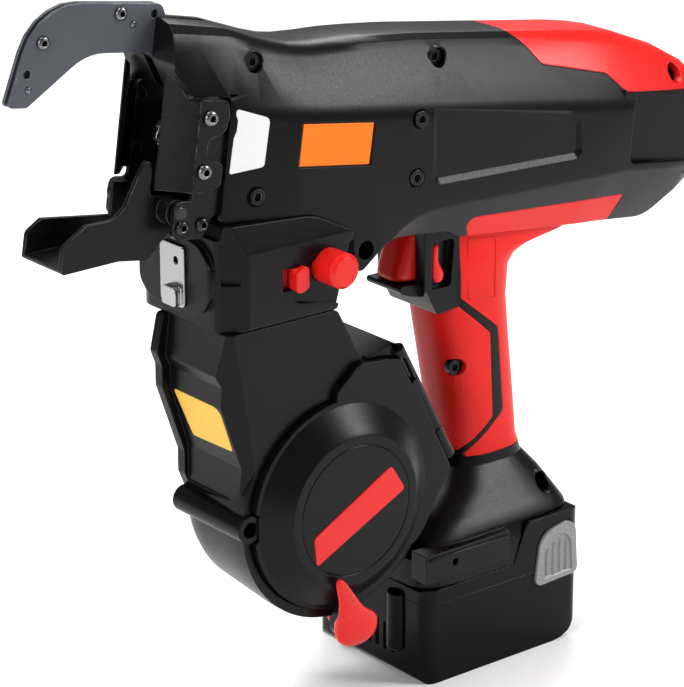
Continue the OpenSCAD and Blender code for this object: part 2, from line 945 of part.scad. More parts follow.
module arm_core() {
    color(dark)
        head_frame()
            difference() {
                side(-arm_core_t / 2, arm_core_t / 2, inset(arm_outline, 0.8));
                arm_holes();
            }
}

module arm_screws() {
    half_t = arm_core_t / 2 + arm_plate_t;
    color(steel)
        head_frame() {
            for (p = arm_screws_at)
                translate([p[0], 0, p[1]]) {
                    translate([0, -half_t - 2, 0]) socket_screw(half_t * 2, 3.1, 2, arm_screw_r);
                    bar_y(half_t, half_t + 1.6, 3.2);
                }
            for (p = arm_rivets_at)
                translate([p[0], 0, p[1]]) bar_y(-half_t - 0.5, half_t + 0.5, arm_rivet_r);
        }
}

// Block between the side frames that grips the arm's root inside the nose
mount_bar = [[-129.5, nose_under + 3.4], [-114, 51]];
module arm_mount() {
    half_y = frame_half_w - plate_t - seat_gap;
    color(grey)
        head_frame()
            difference() {
                union() {
                    box([mount_bar[0][0], -half_y, 30], [mount_bar[1][0], half_y, 37]);
                    box([mount_bar[0][0], -nose_slot - 6, 36],
                        [mount_bar[1][0], nose_slot + 6, mount_bar[1][1]]);
                    box([-147, -nose_slot - 4, mount_bar[0][1]], [mount_bar[1][0], nose_slot + 4, 57]);
                }
                box([-far, -nose_slot, 40], [-137, nose_slot, far]);
                translate([0, 0, axis_w]) bar_x(-far, 0, sleeve_r + 3);
                for (p = head_screws)
                    translate([p[0], 0, p[1]]) bar_y(-far, far, boss_r + seat_gap);
            }
}

pivot_w = frame_half_w - plate_t - run_gap;
pivot_boss_r = 5;
scoop_side = [
    [-scoop_reach, -26, 1.5], [-171, -22, 6], [-158, -22.2, 3], [-152.5, -15.6, 2], [-146.4, -8.6, 4],
    [-146.4, 1.4, 3], [-159.8, 2.2, 1], [-159.8, 12, 2], [-161, 15.5, 2], [-163.6, 14, 2.5],
    [-170, -1.8, 4], [-174.3, -6.2, 6], [-186.5, -8, 4], [-scoop_reach + 0.2, -15.5, 3]
];

module lower_guide() {
    half_w = scoop_w / 2;
    color(black)
        head_frame()
            difference() {
                union() {
                    intersection() {
                        side(-half_w, half_w, scoop_side);
                        union() {
                            box([-far, -far, -far], [far, -half_w + scoop_t, far]);
                            box([-far, half_w - scoop_t, -far], [far, far, far]);
                            scoop_floor();
                        }
                    }
                    for (s = [0, 1])
                        mirror([0, s, 0])
                            translate([pin_at[0], 0, pin_at[1]])
                                bar_y(-pivot_w, -half_w + scoop_t, pivot_boss_r);
                }
                translate([pin_at[0], 0, pin_at[1]]) bar_y(-far, far, pin_r + pin_fit);
                // The right wall has no raised neck
                box([-far, 0, -10.6], [-159, far, far]);
            }
}

module scoop_floor() {
    side(-far, far, [
        [-scoop_reach - 5, -35, 1], [-150, -35, 1], [-150, -22.2 + scoop_t, 1],
        [-171, -22 + scoop_t, 6], [-scoop_reach - 5, -26.8 + scoop_t, 1]
    ]);
}

module guide_pin() {
    color(steel)
        head_frame()
            translate([pin_at[0], 0, pin_at[1]])
                bar_y(-frame_half_w, frame_half_w, pin_r);
}

// Gear train on the twisting axis

pressure = 20;
sun_n = 12;
planet_n = 12;
ring_n = sun_n + 2 * planet_n;
planet_at = gear_m * (sun_n + planet_n) / 2;
gear_u = -18;
shaft_r = 2.5;
planet_pin_r = 2;
out_shaft_r = 6;
backlash = 0.3;
addendum = 0.85;
dedendum = 1.25;

function involute(base, r) = sqrt(max(r * r / (base * base) - 1,
    0)) * 180 / PI - acos(min(base / r, 1));

// Points of a gear's outline; grow widens the teeth for an internal gear's cutter
function gear_outline(n, tip, root, gap) =
    let (
        rp = gear_m * n / 2,
        base = rp * cos(pressure),
        half = 90 / n - gap / (2 * rp) * 180 / PI,
        rs = [max(root, base), (max(root, base) + rp) / 2, rp, (rp + tip) / 2, tip],
        flank = [for (r = rs) [r, half + involute(base, rp) - involute(base, r)]]
    )
    [
        for (k = [0 : n - 1])
            let (c = k * 360 / n)
            each concat(
                [root * [cos(c - flank[0][1]), sin(c - flank[0][1])]],
                [for (f = flank) f[0] * [cos(c - f[1]), sin(c - f[1])]],
                [for (i = [4 : -1 : 0]) flank[i][0] * [cos(c + flank[i][1]), sin(c + flank[i][1])]],
                [root * [cos(c + flank[0][1]), sin(c + flank[0][1])]]
            )
    ];

module gear(n, w) {
    rp = gear_m * n / 2;
    linear_extrude(w)
        polygon(gear_outline(n, rp + addendum * gear_m, rp - dedendum * gear_m, backlash));
}

module gear_x(u, n, w, turn) {
    translate([u, 0, 0])
        rotate([0, 90, 0])
            rotate([0, 0, turn])
                gear(n, w);
}

module sun_pinion() {
    color(steel)
        twist_axis() {
            gear_x(gear_u, sun_n, gear_w, 0);
            bar_x(gear_u + gear_w - 1, motor_u[0] + 24, shaft_r);
        }
}

module planet(k) {
    color(steel)
        twist_axis()
            rotate([k * 120, 0, 0])
                translate([0, 0, planet_at])
                    difference() {
                        gear_x(gear_u, planet_n, gear_w, planet_turn);
                        bar_x(-far, far, planet_pin_r + pin_fit);
                    }
}
planet_turn = 180 / planet_n;

module planet_a() { planet(0); }
module planet_b() { planet(1); }
module planet_c() { planet(2); }

module carrier() {
    color(grey)
        twist_axis() {
            bar_x(gear_u - 6, gear_u - run_gap, planet_at + 3.5);
            bar_x(-86, gear_u - 5, out_shaft_r);
            for (k = [0 : 2])
                rotate([k * 120, 0, 0])
                    translate([0, 0, planet_at])
                        bar_x(gear_u - 2, gear_u + gear_w + 1, planet_pin_r);
        }
}

module gear_case() {
    ring_rp = gear_m * ring_n / 2;
    color(grey)
        head_frame()
            difference() {
                union() {
                    bulkhead(case_u[0], case_plate_u, 0, 45, wall + seat_gap);
                    translate([0, 0, axis_w]) bar_x(case_plate_u - 1, case_u[1], case_r);
                }
                translate([0, 0, axis_w]) {
                    bar_x(-far, far, out_shaft_r + pin_fit);
                    bar_x(case_plate_u + 4, gear_u - 0.5, ring_rp + 1.5);
                    bar_x(gear_u + gear_w + 0.5, far, ring_rp + 1.5);
                    translate([gear_u - 2, 0, 0])
                        rotate([0, 90, 0])
                            rotate([0, 0, 180 / ring_n])
                            linear_extrude(gear_w + 4)
                                polygon(gear_outline(ring_n, ring_rp + dedendum * gear_m,
                                    ring_rp - addendum * gear_m, -backlash));
                }
                for (p = case_screws)
                    translate([p[0], 0, p[1]])
                        for (s = [-1, 1])
                            translate([0, s * 40, 0]) bar_y(-26, 26, screw_r);
            }
}

module twist_motor() {
    color(grey)
        twist_axis()
            difference() {
                union() {
                    bar_x(motor_u[0], motor_u[1], motor_r);
                    bar_x(case_u[1] + seat_gap, motor_u[0] + 1, case_r - 2);
                    bar_x(motor_u[1] - 1, motor_u[1] + 6, 8);
                }
                bar_x(0, motor_u[0] + 25, shaft_r + pin_fit);
                for (k = [0 : 5])
                    rotate([k * 60, 0, 0])
                        translate([0, motor_r, 0]) bar_x(motor_u[1] - 14, motor_u[1] - 6, 3);
            }
}

sleeve_u = [-126, -62];

module twister_sleeve() {
    color(steel)
        twist_axis()
            difference() {
                union() {
                    bar_x(sleeve_u[0], sleeve_u[1], sleeve_r);
                    bar_x(sleeve_u[1] - 12, sleeve_u[1] - 8, sleeve_r + 3);
                }
                bar_x(-86 - seat_gap, far, out_shaft_r + pin_fit);
                box([sleeve_u[0] - 1, -2.6, -far], [sleeve_u[0] + 16, 2.6, far]);
                for (s = [-1, 1])
                    box([sleeve_u[0] + 22, s * 7.5 - 1.5, -2], [sleeve_u[1] - 18, s * 7.5 + 1.5, 2]);
            }
}

// Three hooks: a fixed middle one and two that close against it
hook_outline = [
    [-149, -3, 2], [-146, -5.5, 2], [-128, -5.5, 3], [sleeve_u[0] + 14, -3, 1],
    [sleeve_u[0] + 14, 3, 1],
    [-128, 5.5, 3], [-147, 5.5, 3], [-150, 2, 2], [-145.5, 1.2, 1]
];
module twister_hooks() {
    color(steel)
        twist_axis() {
            side(-1.8, 1.8, hook_outline);
            for (s = [-1, 1])
                side(s * 6.3 - 1.5, s * 6.3 + 1.5, [
                    [-147, -4, 2], [sleeve_u[0], -4, 1], [sleeve_u[0], 4, 1], [-144, 4, 3]
                ]);
            bar_x(sleeve_u[0] - 4, sleeve_u[0], 9.4);
        }
}

module front_bearing() {
    color(brass)
        twist_axis()
            difference() {
                bar_x(bearing_u[0], bearing_u[1], bearing_r);
                bar_x(-far, 0, sleeve_r + pin_fit);
            }
}

// Feed unit

feed_left = -mag_left - 1;
feed_right = 26;
feed_base = 170.5;
feed_front = -137;
feed_rear = -70;
feed_bevel = 9.5;
feed_bevel_y = -24.5;
bulge_front = -139.5;
bulge_left = -24;
feed_shoulder = 201;
feed_top_half_w = 25;
wire_y = -5;
feed_z = 187;
drive_x = -98;
feed_n = 15;
feed_pitch = feed_n * gear_m;
button_at = [-89.6, 189.5];
button_r = 7;
button_travel = 4;
button_out = 11;
tab_at = [-104, 187.5];
tab_travel = 4;

feed_section = [
    [feed_left, feed_base, 2], [feed_right, feed_base, 2], [feed_right, feed_shoulder, 7],
    [feed_top_half_w - 4, 222, 2], [-feed_top_half_w, 222, 2], [feed_left, feed_shoulder, 7]
];
feed_plan = [
    [feed_rear, feed_right, 6], [feed_front, feed_right, 8], [feed_front, feed_bevel_y, 3],
    [feed_front + feed_bevel, feed_left, 3], [feed_rear, feed_left, 8]
];
bulge_section = [
    [bulge_left, feed_base + 5, 12], [22, feed_base + 5, 12], [22, 204, 13], [bulge_left, 204, 13]
];

feed_side = [[-160, 150, 1], [-91.1, 150, 1], [-70.2, 225, 1], [-160, 225, 1]];

module feed_form(d) {
    intersection() {
        front(-far, far, inset(feed_section, d));
        side(-far, far, inset(feed_side, d * 0.4));
        plan(feed_base - 10 + d, far, inset(feed_plan, d));
    }
    intersection() {
        front(bulge_front + d, feed_front + 12, inset(bulge_section, d));
        plan(0, far, [
            [bulge_front + d, bulge_left + d, 1.5], [0, bulge_left + d, 1], [0, 22 - d, 1],
            [bulge_front + d, 22 - d, 1.5]
        ]);
    }
}

module feed_housing() {
    color(black)
        difference() {
            feed_form(0);
            feed_form(wall);
            // Seat against the head's underside
            head_frame()
                side(-far, far, [
                    [-far, -13.4, 1], [-head_front - 1, -13.4, 1],
                    [-head_front - 1, seam_front_w - seat_gap, 1],
                    [seam_mid[0], seam_mid[1] - seat_gap, 20],
                    [seam_rear_u - seat_gap, seam_rear_w - seat_gap, 1],
                    [seam_rear_u + 4 - seat_gap, skirt_w - 20, 1],
                    [far, skirt_w - 20, 1], [far, far, 1], [-far, far, 1]
                ]);
            // Open floor over the magazine
            box([-118, -mag_left + 6, 0], [-90, mag_right - 6, feed_base + wall + 1]);
            // Sunken field round the button and the tab
            side(-far, feed_left + 1.4, [
                [-107, 178, 5], [-60, 168, 1], [-60, 201, 1], [-77, 197.4, 3], [-107, 190.6, 3]
            ]);
            // Vent slot in the bevelled corner
            plan(189, 191.7, [
                [feed_front - 1.6, -29.6, 0.4], [feed_front + 4.1, -34.4, 0.4],
                [feed_front + 8.6, -29, 0.4], [feed_front + 2.8, -24.2, 0.4]
            ]);
            translate([button_at[0], 0, button_at[1]]) bar_y(-far, 0, button_r + pin_fit);
            box(
                [tab_at[0] - tab_travel - 3 - run_gap, -far, tab_at[1] - 4 - run_gap],
                [tab_at[0] + 3 + run_gap, 0, tab_at[1] + 4 + run_gap]
            );
        }
}

module wire_guide_plate() {
    color(steel)
        difference() {
            union() {
                front(bulge_front - 1.2, bulge_front - seat_gap, [
                    [-9.5, 177, 2], [5.5, 177, 2], [5.5, 201, 2], [-9.5, 201, 2]
                ]);
                front(bulge_front - 4, bulge_front - 1, [
                    [-7.5, 177.6, 1], [1, 177.6, 1], [1, 185, 2], [-7.5, 185, 2]
                ]);
            }
            translate([0, -4.5, 195]) bar_x(-far, 0, 1.6);
        }
}

module feed_bracket() {
    y0 = wire_y + feed_gear_w / 2 + run_gap;
    color(blued)
        difference() {
            union() {
                side(y0, y0 + 2, [
                    [feed_front + wall + 1, feed_base + wall + seat_gap, 2],
                    [feed_rear - 18, feed_base + wall + seat_gap, 2],
                    [feed_rear - 18, 194, 2], [feed_front + wall + 1, 198, 2]
                ]);
                translate([drive_x - feed_pitch, 0, feed_z]) bar_y(wire_y - feed_gear_w / 2 - 1,
                    y0 + 1, shaft_r);
            }
            translate([drive_x, 0, feed_z]) bar_y(-far, far, shaft_r + pin_fit);
        }
}

module feed_motor() {
    y0 = wire_y + feed_gear_w / 2 + run_gap + 2 + seat_gap;
    color(grey)
        translate([drive_x, 0, feed_z])
            difference() {
                union() {
                    bar_y(y0, feed_right - wall - seat_gap, 11.5);
                    bar_y(y0, y0 + 2, 12.4);
                }
                bar_y(-far, y0 + 12, shaft_r + pin_fit);
            }
}

module feed_gear(turn) {
    translate([0, wire_y + feed_gear_w / 2, 0])
        rotate([90, 0, 0])
            rotate([0, 0, turn])
                difference() {
                    gear(feed_n, feed_gear_w);
                    translate([0, 0, feed_gear_w / 2])
                        rotate_extrude()
                            translate([feed_pitch / 2 + 0.6, 0])
                                circle(r = 1.4);
                }
}

module drive_feed_gear() {
    y0 = wire_y + feed_gear_w / 2;
    color(steel)
        translate([drive_x, 0, feed_z]) {
            feed_gear(0);
            bar_y(y0 - 1, y0 + run_gap + 2 + 11, shaft_r);
        }
}

module idle_feed_gear() {
    color(steel)
        translate([drive_x - feed_pitch, 0, feed_z])
            difference() {
                feed_gear(0);
                bar_y(-far, far, shaft_r + pin_fit);
            }
}

module push_button() {
    color(red)
        translate([button_at[0], 0, button_at[1]])
            rotate([90, 0, 0])
                rotate_extrude()
                    polygon([
                        [0, -feed_left - wall - 3], [button_r + 0.5, -feed_left - wall - 3],
                        [button_r + 0.5, -feed_left - wall - run_gap],
                        [button_r, -feed_left - wall - run_gap],
                        [button_r, -feed_left + button_out - 1.5],
                        [button_r - 1.5, -feed_left + button_out],
                        [0, -feed_left + button_out]
                    ]);
}

module release_tab() {
    color(red) {
        side(feed_left - 3, feed_left - run_gap, [
            [tab_at[0] - 3, tab_at[1] - 6, 2], [tab_at[0] + 3, tab_at[1] - 4, 2],
            [tab_at[0] + 3, tab_at[1] + 6, 2], [tab_at[0] - 3, tab_at[1] + 3, 2]
        ]);
        box([tab_at[0] - 3, feed_left - 1, tab_at[1] - 4],
            [tab_at[0] + 3, feed_left + wall + run_gap, tab_at[1] + 4]);
        box([tab_at[0] - 4.6, feed_left + wall + run_gap, tab_at[1] - 6],
            [tab_at[0] + 4.6, feed_left + wall + 2, tab_at[1] + 6]);
    }
}

// Trigger group

module trigger() {
    color(red)
        difference() {
            intersection() {
                side(-trigger_half_w, trigger_half_w, trigger_outline);
                plan(0, far, [
                    [-35.6, -trigger_half_w - 0.2, 8], [0, -far, 1], [0, far, 1],
                    [-35.6, trigger_half_w + 0.2, 8]
                ]);
            }
            translate([0, 0, spring_z]) bar_x(-30, 0, spring_r + run_gap);
        }
}
spring_r = 3;
spring_z = 175;
switch_x = pocket_rear + 1;
switch_half_w = 6;

module trigger_switch() {
    color(dark)
        union() {
            box([switch_x, -switch_half_w, 167], [switch_x + 20, switch_half_w, 182]);
            translate([0, 0, spring_z]) bar_x(switch_x - 8, switch_x + 1, spring_r - 1);
        }
}

module trigger_spring() {
    color(steel)
        translate([0, 0, spring_z])
            difference() {
                bar_x(switch_x - 9, switch_x, spring_r);
                bar_x(-far, far, spring_r - 0.8);
            }
}

lock_tip = [-19, 165.6];
module trigger_lock() {
    color(red) {
        side(-trigger_block_half_w + 0.4, lock_floor - run_gap, [
            [lock_pivot[0] - 2.6, lock_pivot[1] + 2.6, 2.4], [lock_tip[0] - 2.2, lock_tip[1] + 3, 2],
            [lock_tip[0] - 2.6, lock_tip[1] - 3, 2.4], [lock_tip[0] + 3, lock_tip[1] - 3, 2.6],
            [lock_tip[0] + 3, lock_tip[1] + 3, 3], [lock_pivot[0] + 2.4, lock_pivot[1] + 2.6, 2.4]
        ]);
        translate([lock_pivot[0], 0, lock_pivot[1]]) bar_y(lock_floor - 2, lock_floor + 1.8,
            lock_pin_r);
    }
}

// Magazine

mag_inner = -mag_left + mag_wall;
mag_top = feed_base - seat_gap;
hinge_low = [-28, 97];
hinge_high = [-55, 148];
mag_outline = [
    [-139, mag_top, 2], [-142.4, 155.5, 3], [-140.2, 149.5, 2], [-140.2, 141, 4],
    [-130.4, 112.5, 3], [-130.4, 103, 3], [-127.5, 96, 4], [-127.5, 84, 8], [-110, 70, 4],
    [-46, 64, 6], [hinge_low[0] + 1.5, hinge_low[1] - 1, 3], [hinge_high[0] + 1, hinge_high[1] + 3, 5],
    [-72.5, 146.5, 4], [-84.5, mag_top, 3]
];
// The field on the neck's front lies back behind a rim on the right
rim_w = 4.5;
neck_field = [
    [-170, 100, 1], [-128.6, 100, 1], [-128.6, 115, 3], [-136.2, 140.5, 3],
    [-136.2, 149, 1.5], [-138.4, 153.5, 1.5], [-136, mag_top + 1, 1], [-170, mag_top + 1, 1]
];
neck_lean = 9.5;
// The drum tapers from its open left end to its right end
drum_at = [-84, 90];
drum_left_r = 46.5;
drum_right_r = 42;
hinge_y = -mag_left + 0.5;
hinge_len = norm(hinge_high - hinge_low);
hinge_lean = atan2(hinge_high[0] - hinge_low[0], hinge_high[1] - hinge_low[1]);
knuckle_r = 3.2;
knuckle_pin_r = 1.5;
knuckle_ends = [0.26, 0.74];
tube_at = [-128.5, 91.5];
tube_r = 5.5;
tube_bore_r = 3.2;
lever_at = [-80, 39];
lever_boss_r = 6.5;
lever_pin_r = 3;
catch_y = [-mag_left + 6, -mag_left + 8.5];

// Cylinder along the hinge axis from share a to share b of its length
module hinge_bar(a, b, r) {
    translate([hinge_low[0], hinge_y, hinge_low[1]])
        rotate([0, hinge_lean, 0])
            bar_z(a * hinge_len, b * hinge_len, r);
}

cover_flap = [
    [-84, reel_z - 20, 1], [-48, reel_z - 30, 14], [hinge_low[0] - 1, hinge_low[1] - 4, 3],
    [hinge_high[0] + 2, hinge_high[1] - 4, 3], [-62, 146, 3], [-76, 147, 7], [-87, 137.5, 6],
    [-87, 120, 3]
];
cover_out = 3;
cover_face = -mag_left - cover_out;
cover_gap = 0.6;

module tube_bar(y0, y1, r) {
    translate([tube_at[0], 0, tube_at[1]]) bar_y(y0, y1, r);
}

// Slab in the shape of the cover, which keeps clear of the tube
module cover_blank(y0, y1, grow) {
    difference() {
        union() {
            translate([-reel_x, 0, reel_z]) bar_y(y0, y1, cover_r + grow);
            side(y0, y1, inset(cover_flap, -grow));
            translate([lever_at[0], 0, lever_at[1]]) bar_y(y0, y1, lever_boss_r + grow);
            box(
                [lever_at[0] - lever_boss_r - grow, y0, lever_at[1]],
                [lever_at[0] + lever_boss_r + grow, y1, reel_z - cover_r + 6]
            );
        }
        tube_bar(-far, far, tube_r + 0.3 + cover_gap - grow);
    }
}

// Neck and drum of the magazine, moved inward by d
module mag_form(d) {
    difference() {
        side(-mag_left + d, mag_right - d, inset(mag_outline, d));
        side(-far, mag_right - rim_w + d, inset(neck_field, -d));
        // Bevel of the neck's front left corner
        translate([-138, 0, 160])
            rotate([0, -neck_lean, 0])
                plan(-60, far, inset([[-32, -60, 1], [44.7, -60, 1], [-32, -2.5, 1]], -d));
    }
    translate([drum_at[0], 0, drum_at[1]])
        rotate([-90, 0, 0])
            rotate_extrude()
                polygon([
                    [0, -mag_left + d], [drum_left_r - d, -mag_left + d],
                    [drum_left_r - d, -mag_left + 6],
                    [drum_right_r - d + 2, mag_right - 5], [drum_right_r - d, mag_right - d],
                    [0, mag_right - d]
                ]);
}

module magazine_body() {
    color(black)
        difference() {
            union() {
                difference() {
                    mag_form(0);
                    mag_form(mag_wall);
                }
                tube_bar(-mag_left - 2, mag_right - 1, tube_r);
                hinge_bar(0, knuckle_ends[0], knuckle_r);
                hinge_bar(knuckle_ends[1], 1, knuckle_r);
            }
            cover_blank(-mag_left - 6, mag_inner, cover_gap);
            tube_bar(-far, far, tube_bore_r);
            hinge_bar(-1, 2, knuckle_pin_r + pin_fit / 2);
            hinge_bar(knuckle_ends[0], knuckle_ends[1], knuckle_r + run_gap);
            // Throat into the feed housing
            box([-118, mag_inner + 3, 150], [-90, mag_right - 6, far]);
            // Slot that takes the lock lever's catch
            box([lever_at[0] - 6, catch_y[0] - run_gap, 0],
                [lever_at[0] + 10, catch_y[1] + run_gap, reel_z - 38]);
            // Seat of the reel hub
            translate([-reel_x, 0, reel_z]) bar_y(0, far, hub_foot_r + seat_gap);
        }
}

reel_left = -mag_left - 2;
reel_right = reel_left + reel_w;
hub_r = 8;
hub_foot_r = 12;

module reel_hub() {
    color(dark)
        translate([-reel_x, 0, reel_z])
            difference() {
                union() {
                    bar_y(reel_left + 1, mag_right - 1, hub_r);
                    bar_y(reel_right + run_gap, mag_right, hub_foot_r);
                }
                bar_y(-far, mag_right - 4, hub_r - 3);
            }
}

reel_core_r = 14;
flange_t = 1.8;

module wire_reel() {
    color(dark)
        translate([-reel_x, 0, reel_z])
            difference() {
                union() {
                    bar_y(reel_left, reel_right, reel_core_r);
                    bar_y(reel_left, reel_left + flange_t, reel_r);
                    bar_y(reel_right - flange_t, reel_right, reel_r);
                }
                bar_y(-far, far, hub_r + pin_fit);
                for (k = [0 : 5])
                    rotate([0, k * 60, 0])
                        translate([(reel_core_r + reel_r) / 2, 0, 0])
                            for (y = [reel_left + flange_t / 2, reel_right - flange_t / 2])
                                bar_y(y - flange_t, y + flange_t, 6);
            }
}

wire_d = 1.6;
winding_r = reel_r - 4;
winding_turns = floor((reel_w - 2 * flange_t) / wire_d);
module wire_winding() {
    y0 = reel_left + flange_t;
    step = (reel_w - 2 * flange_t) / winding_turns;
    color(steel)
        translate([-reel_x, 0, reel_z])
            rotate([-90, 0, 0])
                rotate_extrude()
                    polygon(concat(
                        [[reel_core_r, y0 + reel_w - 2 * flange_t], [reel_core_r, y0]],
                        [
                            for (k = [0 : winding_turns - 1])
                                each [
                                    [winding_r, y0 + k * step], [winding_r + 0.4,
                                    y0 + (k + 0.25) * step],
                                    [winding_r + 0.4, y0 + (k + 0.75) * step]
                                ]
                        ],
                        [[winding_r, y0 + reel_w - 2 * flange_t]]
                    ));
}

module magazine_cover() {
    crown = -mag_left - dome_h;
    shell_t = 2.4;
    cone_r = cover_r - 1.7;
    color(black)
        difference() {
            union() {
                difference() {
                    cover_blank(cover_face, mag_inner - run_gap, 0);
                    hinge_bar(-1, 2, knuckle_r + 1);
                }
                translate([-reel_x, 0, reel_z])
                    rotate([90, 0, 0])
                        rotate_extrude()
                            polygon([
                                [0, -cover_face - 1], [cone_r, -cover_face - 1], [cone_r, -cover_face],
                                [dome_r + 1, -crown - 0.8], [dome_r - 0.5, -crown],
                                [dome_r - 4, -crown],
                                [dome_r - 4.4, -crown - 0.5], [dome_r - 4.8, -crown], [0, -crown]
                            ]);
                hinge_bar(knuckle_ends[0] + 0.012, knuckle_ends[1] - 0.012, knuckle_r);
                intersection() {
                    side(cover_face, mag_inner - run_gap, cover_flap);
                    hinge_bar(knuckle_ends[0] + 0.012, knuckle_ends[1] - 0.012, knuckle_r + 6);
                }
            }
            translate([-reel_x, 0, reel_z])
                rotate([90, 0, 0])
                    rotate_extrude()
                        polygon([
                            [0, 0], [cone_r - shell_t, 0], [cone_r - shell_t, -cover_face],
                            [dome_r - 1.5, -crown - shell_t],
                            [hub_r + 2, -crown - shell_t], [hub_r + 2, -reel_left + run_gap],
                            [0, -reel_left + run_gap]
                        ]);
            hinge_bar(-1, 2, knuckle_pin_r + pin_fit);
            translate([lever_at[0], 0, lever_at[1]]) bar_y(-far, far, lever_pin_r + pin_fit);
        }
}

module hinge_pin() {
    color(steel) hinge_bar(0.01, 0.99, knuckle_pin_r);
}

lever_y = [cover_face - 6, cover_face - run_gap];
lever_neck = [-2.5, 5.5];
lever_tip = [-14.5, 25.5];

module lock_lever() {
    x = lever_at[0];
    z = lever_at[1];
    color(red) {
        side(lever_y[0], lever_y[1], [
            [x - 9, z + 1, 4], [x - 5, z - 7.5, 5], [x + 7, z - 7.5, 6], [x + 8.6, z + 1, 5],
            [x + 2, z + 7.4, 6], [x - 8, z + 7.4, 4]
        ]);
        // Blade that rises over the dome's slope
        hull() {
            translate([x + lever_neck[0], 0, z + lever_neck[1]]) bar_y(lever_y[0] - 2.5,
                lever_y[0] + 1.5, 4.5, $fn = 24);
            translate([x + lever_tip[0], 0, z + lever_tip[1]])
                bar_y(-mag_left - dome_h - 4.4, -mag_left - dome_h - 1.4, 1.3, $fn = 24);
        }
        translate([x, 0, z]) bar_y(lever_y[1] - 1, catch_y[1], lever_pin_r);
        side(catch_y[0], catch_y[1], [[x, z - 2, 1], [x + 9, z - 2, 1], [x + 9, z + 2, 1],
            [x, z + 2, 1]]);
    }
}

// Foot and battery

blade_y = [-14, -5, 5, 14];
blade_t = 1;
blade_x = [rail_front + 4, rail_front + 26];
module terminal_block() {
    color(dark)
        box([blade_x[0] - 2, -rail_half_w + 2, foot_z + rail_h + run_gap],
            [blade_x[1] + 4, rail_half_w - 2, foot_floor + 4]);
    color(brass)
        for (y = blade_y)
            box([blade_x[0], y - blade_t / 2, battery_h + 2],
                [blade_x[1], y + blade_t / 2, foot_floor]);
}

lid_z = 35;
battery_plan = [
    [battery_front, -battery_w / 2, 6], [battery_rear, -battery_w / 2, 7],
    [battery_rear, battery_w / 2, 7], [battery_front, battery_w / 2, 6]
];
battery_side = [
    [battery_front, 0, 3], [battery_rear, 0, 15], [battery_rear, battery_rear_h, 4],
    [rear_block_x + rear_step, battery_rear_h, 3],
    [rear_block_x, battery_h, 2], [battery_front, battery_h, 1.5]
];
cell_room = [battery_front + 3.4, battery_front + 3.4 + 4 * (cell_d + 0.3)];
button_x = [13, 40];
button_z = [28, 55];
pack_travel = 1.2;
button_plate_t = 0.6;
battery_button = [
    [button_x[0] + 3, button_z[0], 3], [button_x[1], button_z[0] + 1, 3],
    [button_x[1] - 2, button_z[1], 6], [button_x[0] + 6, button_z[1] - 4, 10]
];

module battery_form() {
    intersection() {
        plan(0, far, battery_plan);
        side(-far, far, battery_side);
    }
}

module battery_hollow() {
    box([cell_room[0], -cell_len / 2 - 0.3, battery_wall],
        [cell_room[1], cell_len / 2 + 0.3, battery_wall + 2 * (cell_d + 0.3)]);
}

module button_rooms() {
    for (s = [0, 1])
        mirror([0, s, 0])
            side(-far, -battery_w / 2 + button_plate_t + pack_travel + run_gap,
                inset(battery_button, -run_gap));
}

module battery_case() {
    color(dark)
        difference() {
            intersection() {
                battery_form();
                box([-far, -far, 0], [far, far, lid_z]);
            }
            battery_hollow();
            button_rooms();
            for (y = [-15 : 5 : 15])
                box([battery_front - 1, y - 1.2, 8], [battery_front + 1, y + 1.2, 20]);
        }
}

module battery_lid() {
    color(dark)
        difference() {
            union() {
                intersection() {
                    battery_form();
                    box([-far, -far, lid_z], [far, far, far]);
                }
                box([rail_front, -rail_half_w, battery_h - 1],
                    [rear_block_x + rear_step + 2, rail_half_w, battery_h + rail_h]);
            }
            battery_hollow();
            button_rooms();
            for (s = [0, 1])
                mirror([0, s, 0])
                    box([-far, rail_half_w - rail_lip, battery_h],
                        [rear_block_x, far, battery_h + rail_lip_h]);
            for (y = blade_y)
                box([-far, y - 2, battery_h + 1], [blade_x[1] + 2, y + 2, far]);
            // Hollow of the raised rear block
            box([rear_block_x + rear_step + 6, -24, lid_z - 1],
                [battery_rear - 5, 24, battery_rear_h - 3]);
        }
}

module battery_cells() {
    color([0.25, 0.45, 0.62])
        for (i = [0 : 3])
            for (j = [0 : 1])
                translate([cell_room[0] + (i + 0.5) * (cell_d + 0.3),
                    0, battery_wall + (j + 0.5) * (cell_d + 0.3)])
                    bar_y(-cell_len / 2, cell_len / 2, cell_d / 2);
}

module battery_contacts() {
    color(copper)
        for (y = blade_y)
            for (s = [-1, 1])
                box([blade_x[0] + 6, y + s * 1.6 - 0.3, battery_h + 1],
                    [blade_x[1] - 2, y + s * 1.6 + 0.3, battery_h + rail_h - 2]);
}

module battery_button_solid() {
    face = -battery_w / 2;
    side(face - 1.2, face + button_plate_t, battery_button);
    for (k = [0 : 3])
        side(face - 2, face - 1, [
            [button_x[0] + 9 + k * 1.2, button_z[0] + 5 + k * 5, 0.8],
            [button_x[1] - 5, button_z[0] + 5 + k * 5, 0.8],
            [button_x[1] - 5, button_z[0] + 7.4 + k * 5, 0.8],
            [button_x[0] + 9 + k * 1.2, button_z[0] + 7.4 + k * 5, 0.8]
        ]);
}

module left_battery_button() {
    color(grey) battery_button_solid();
}

module right_battery_button() {
    color(grey) mirror([0, 1, 0]) battery_button_solid();
}

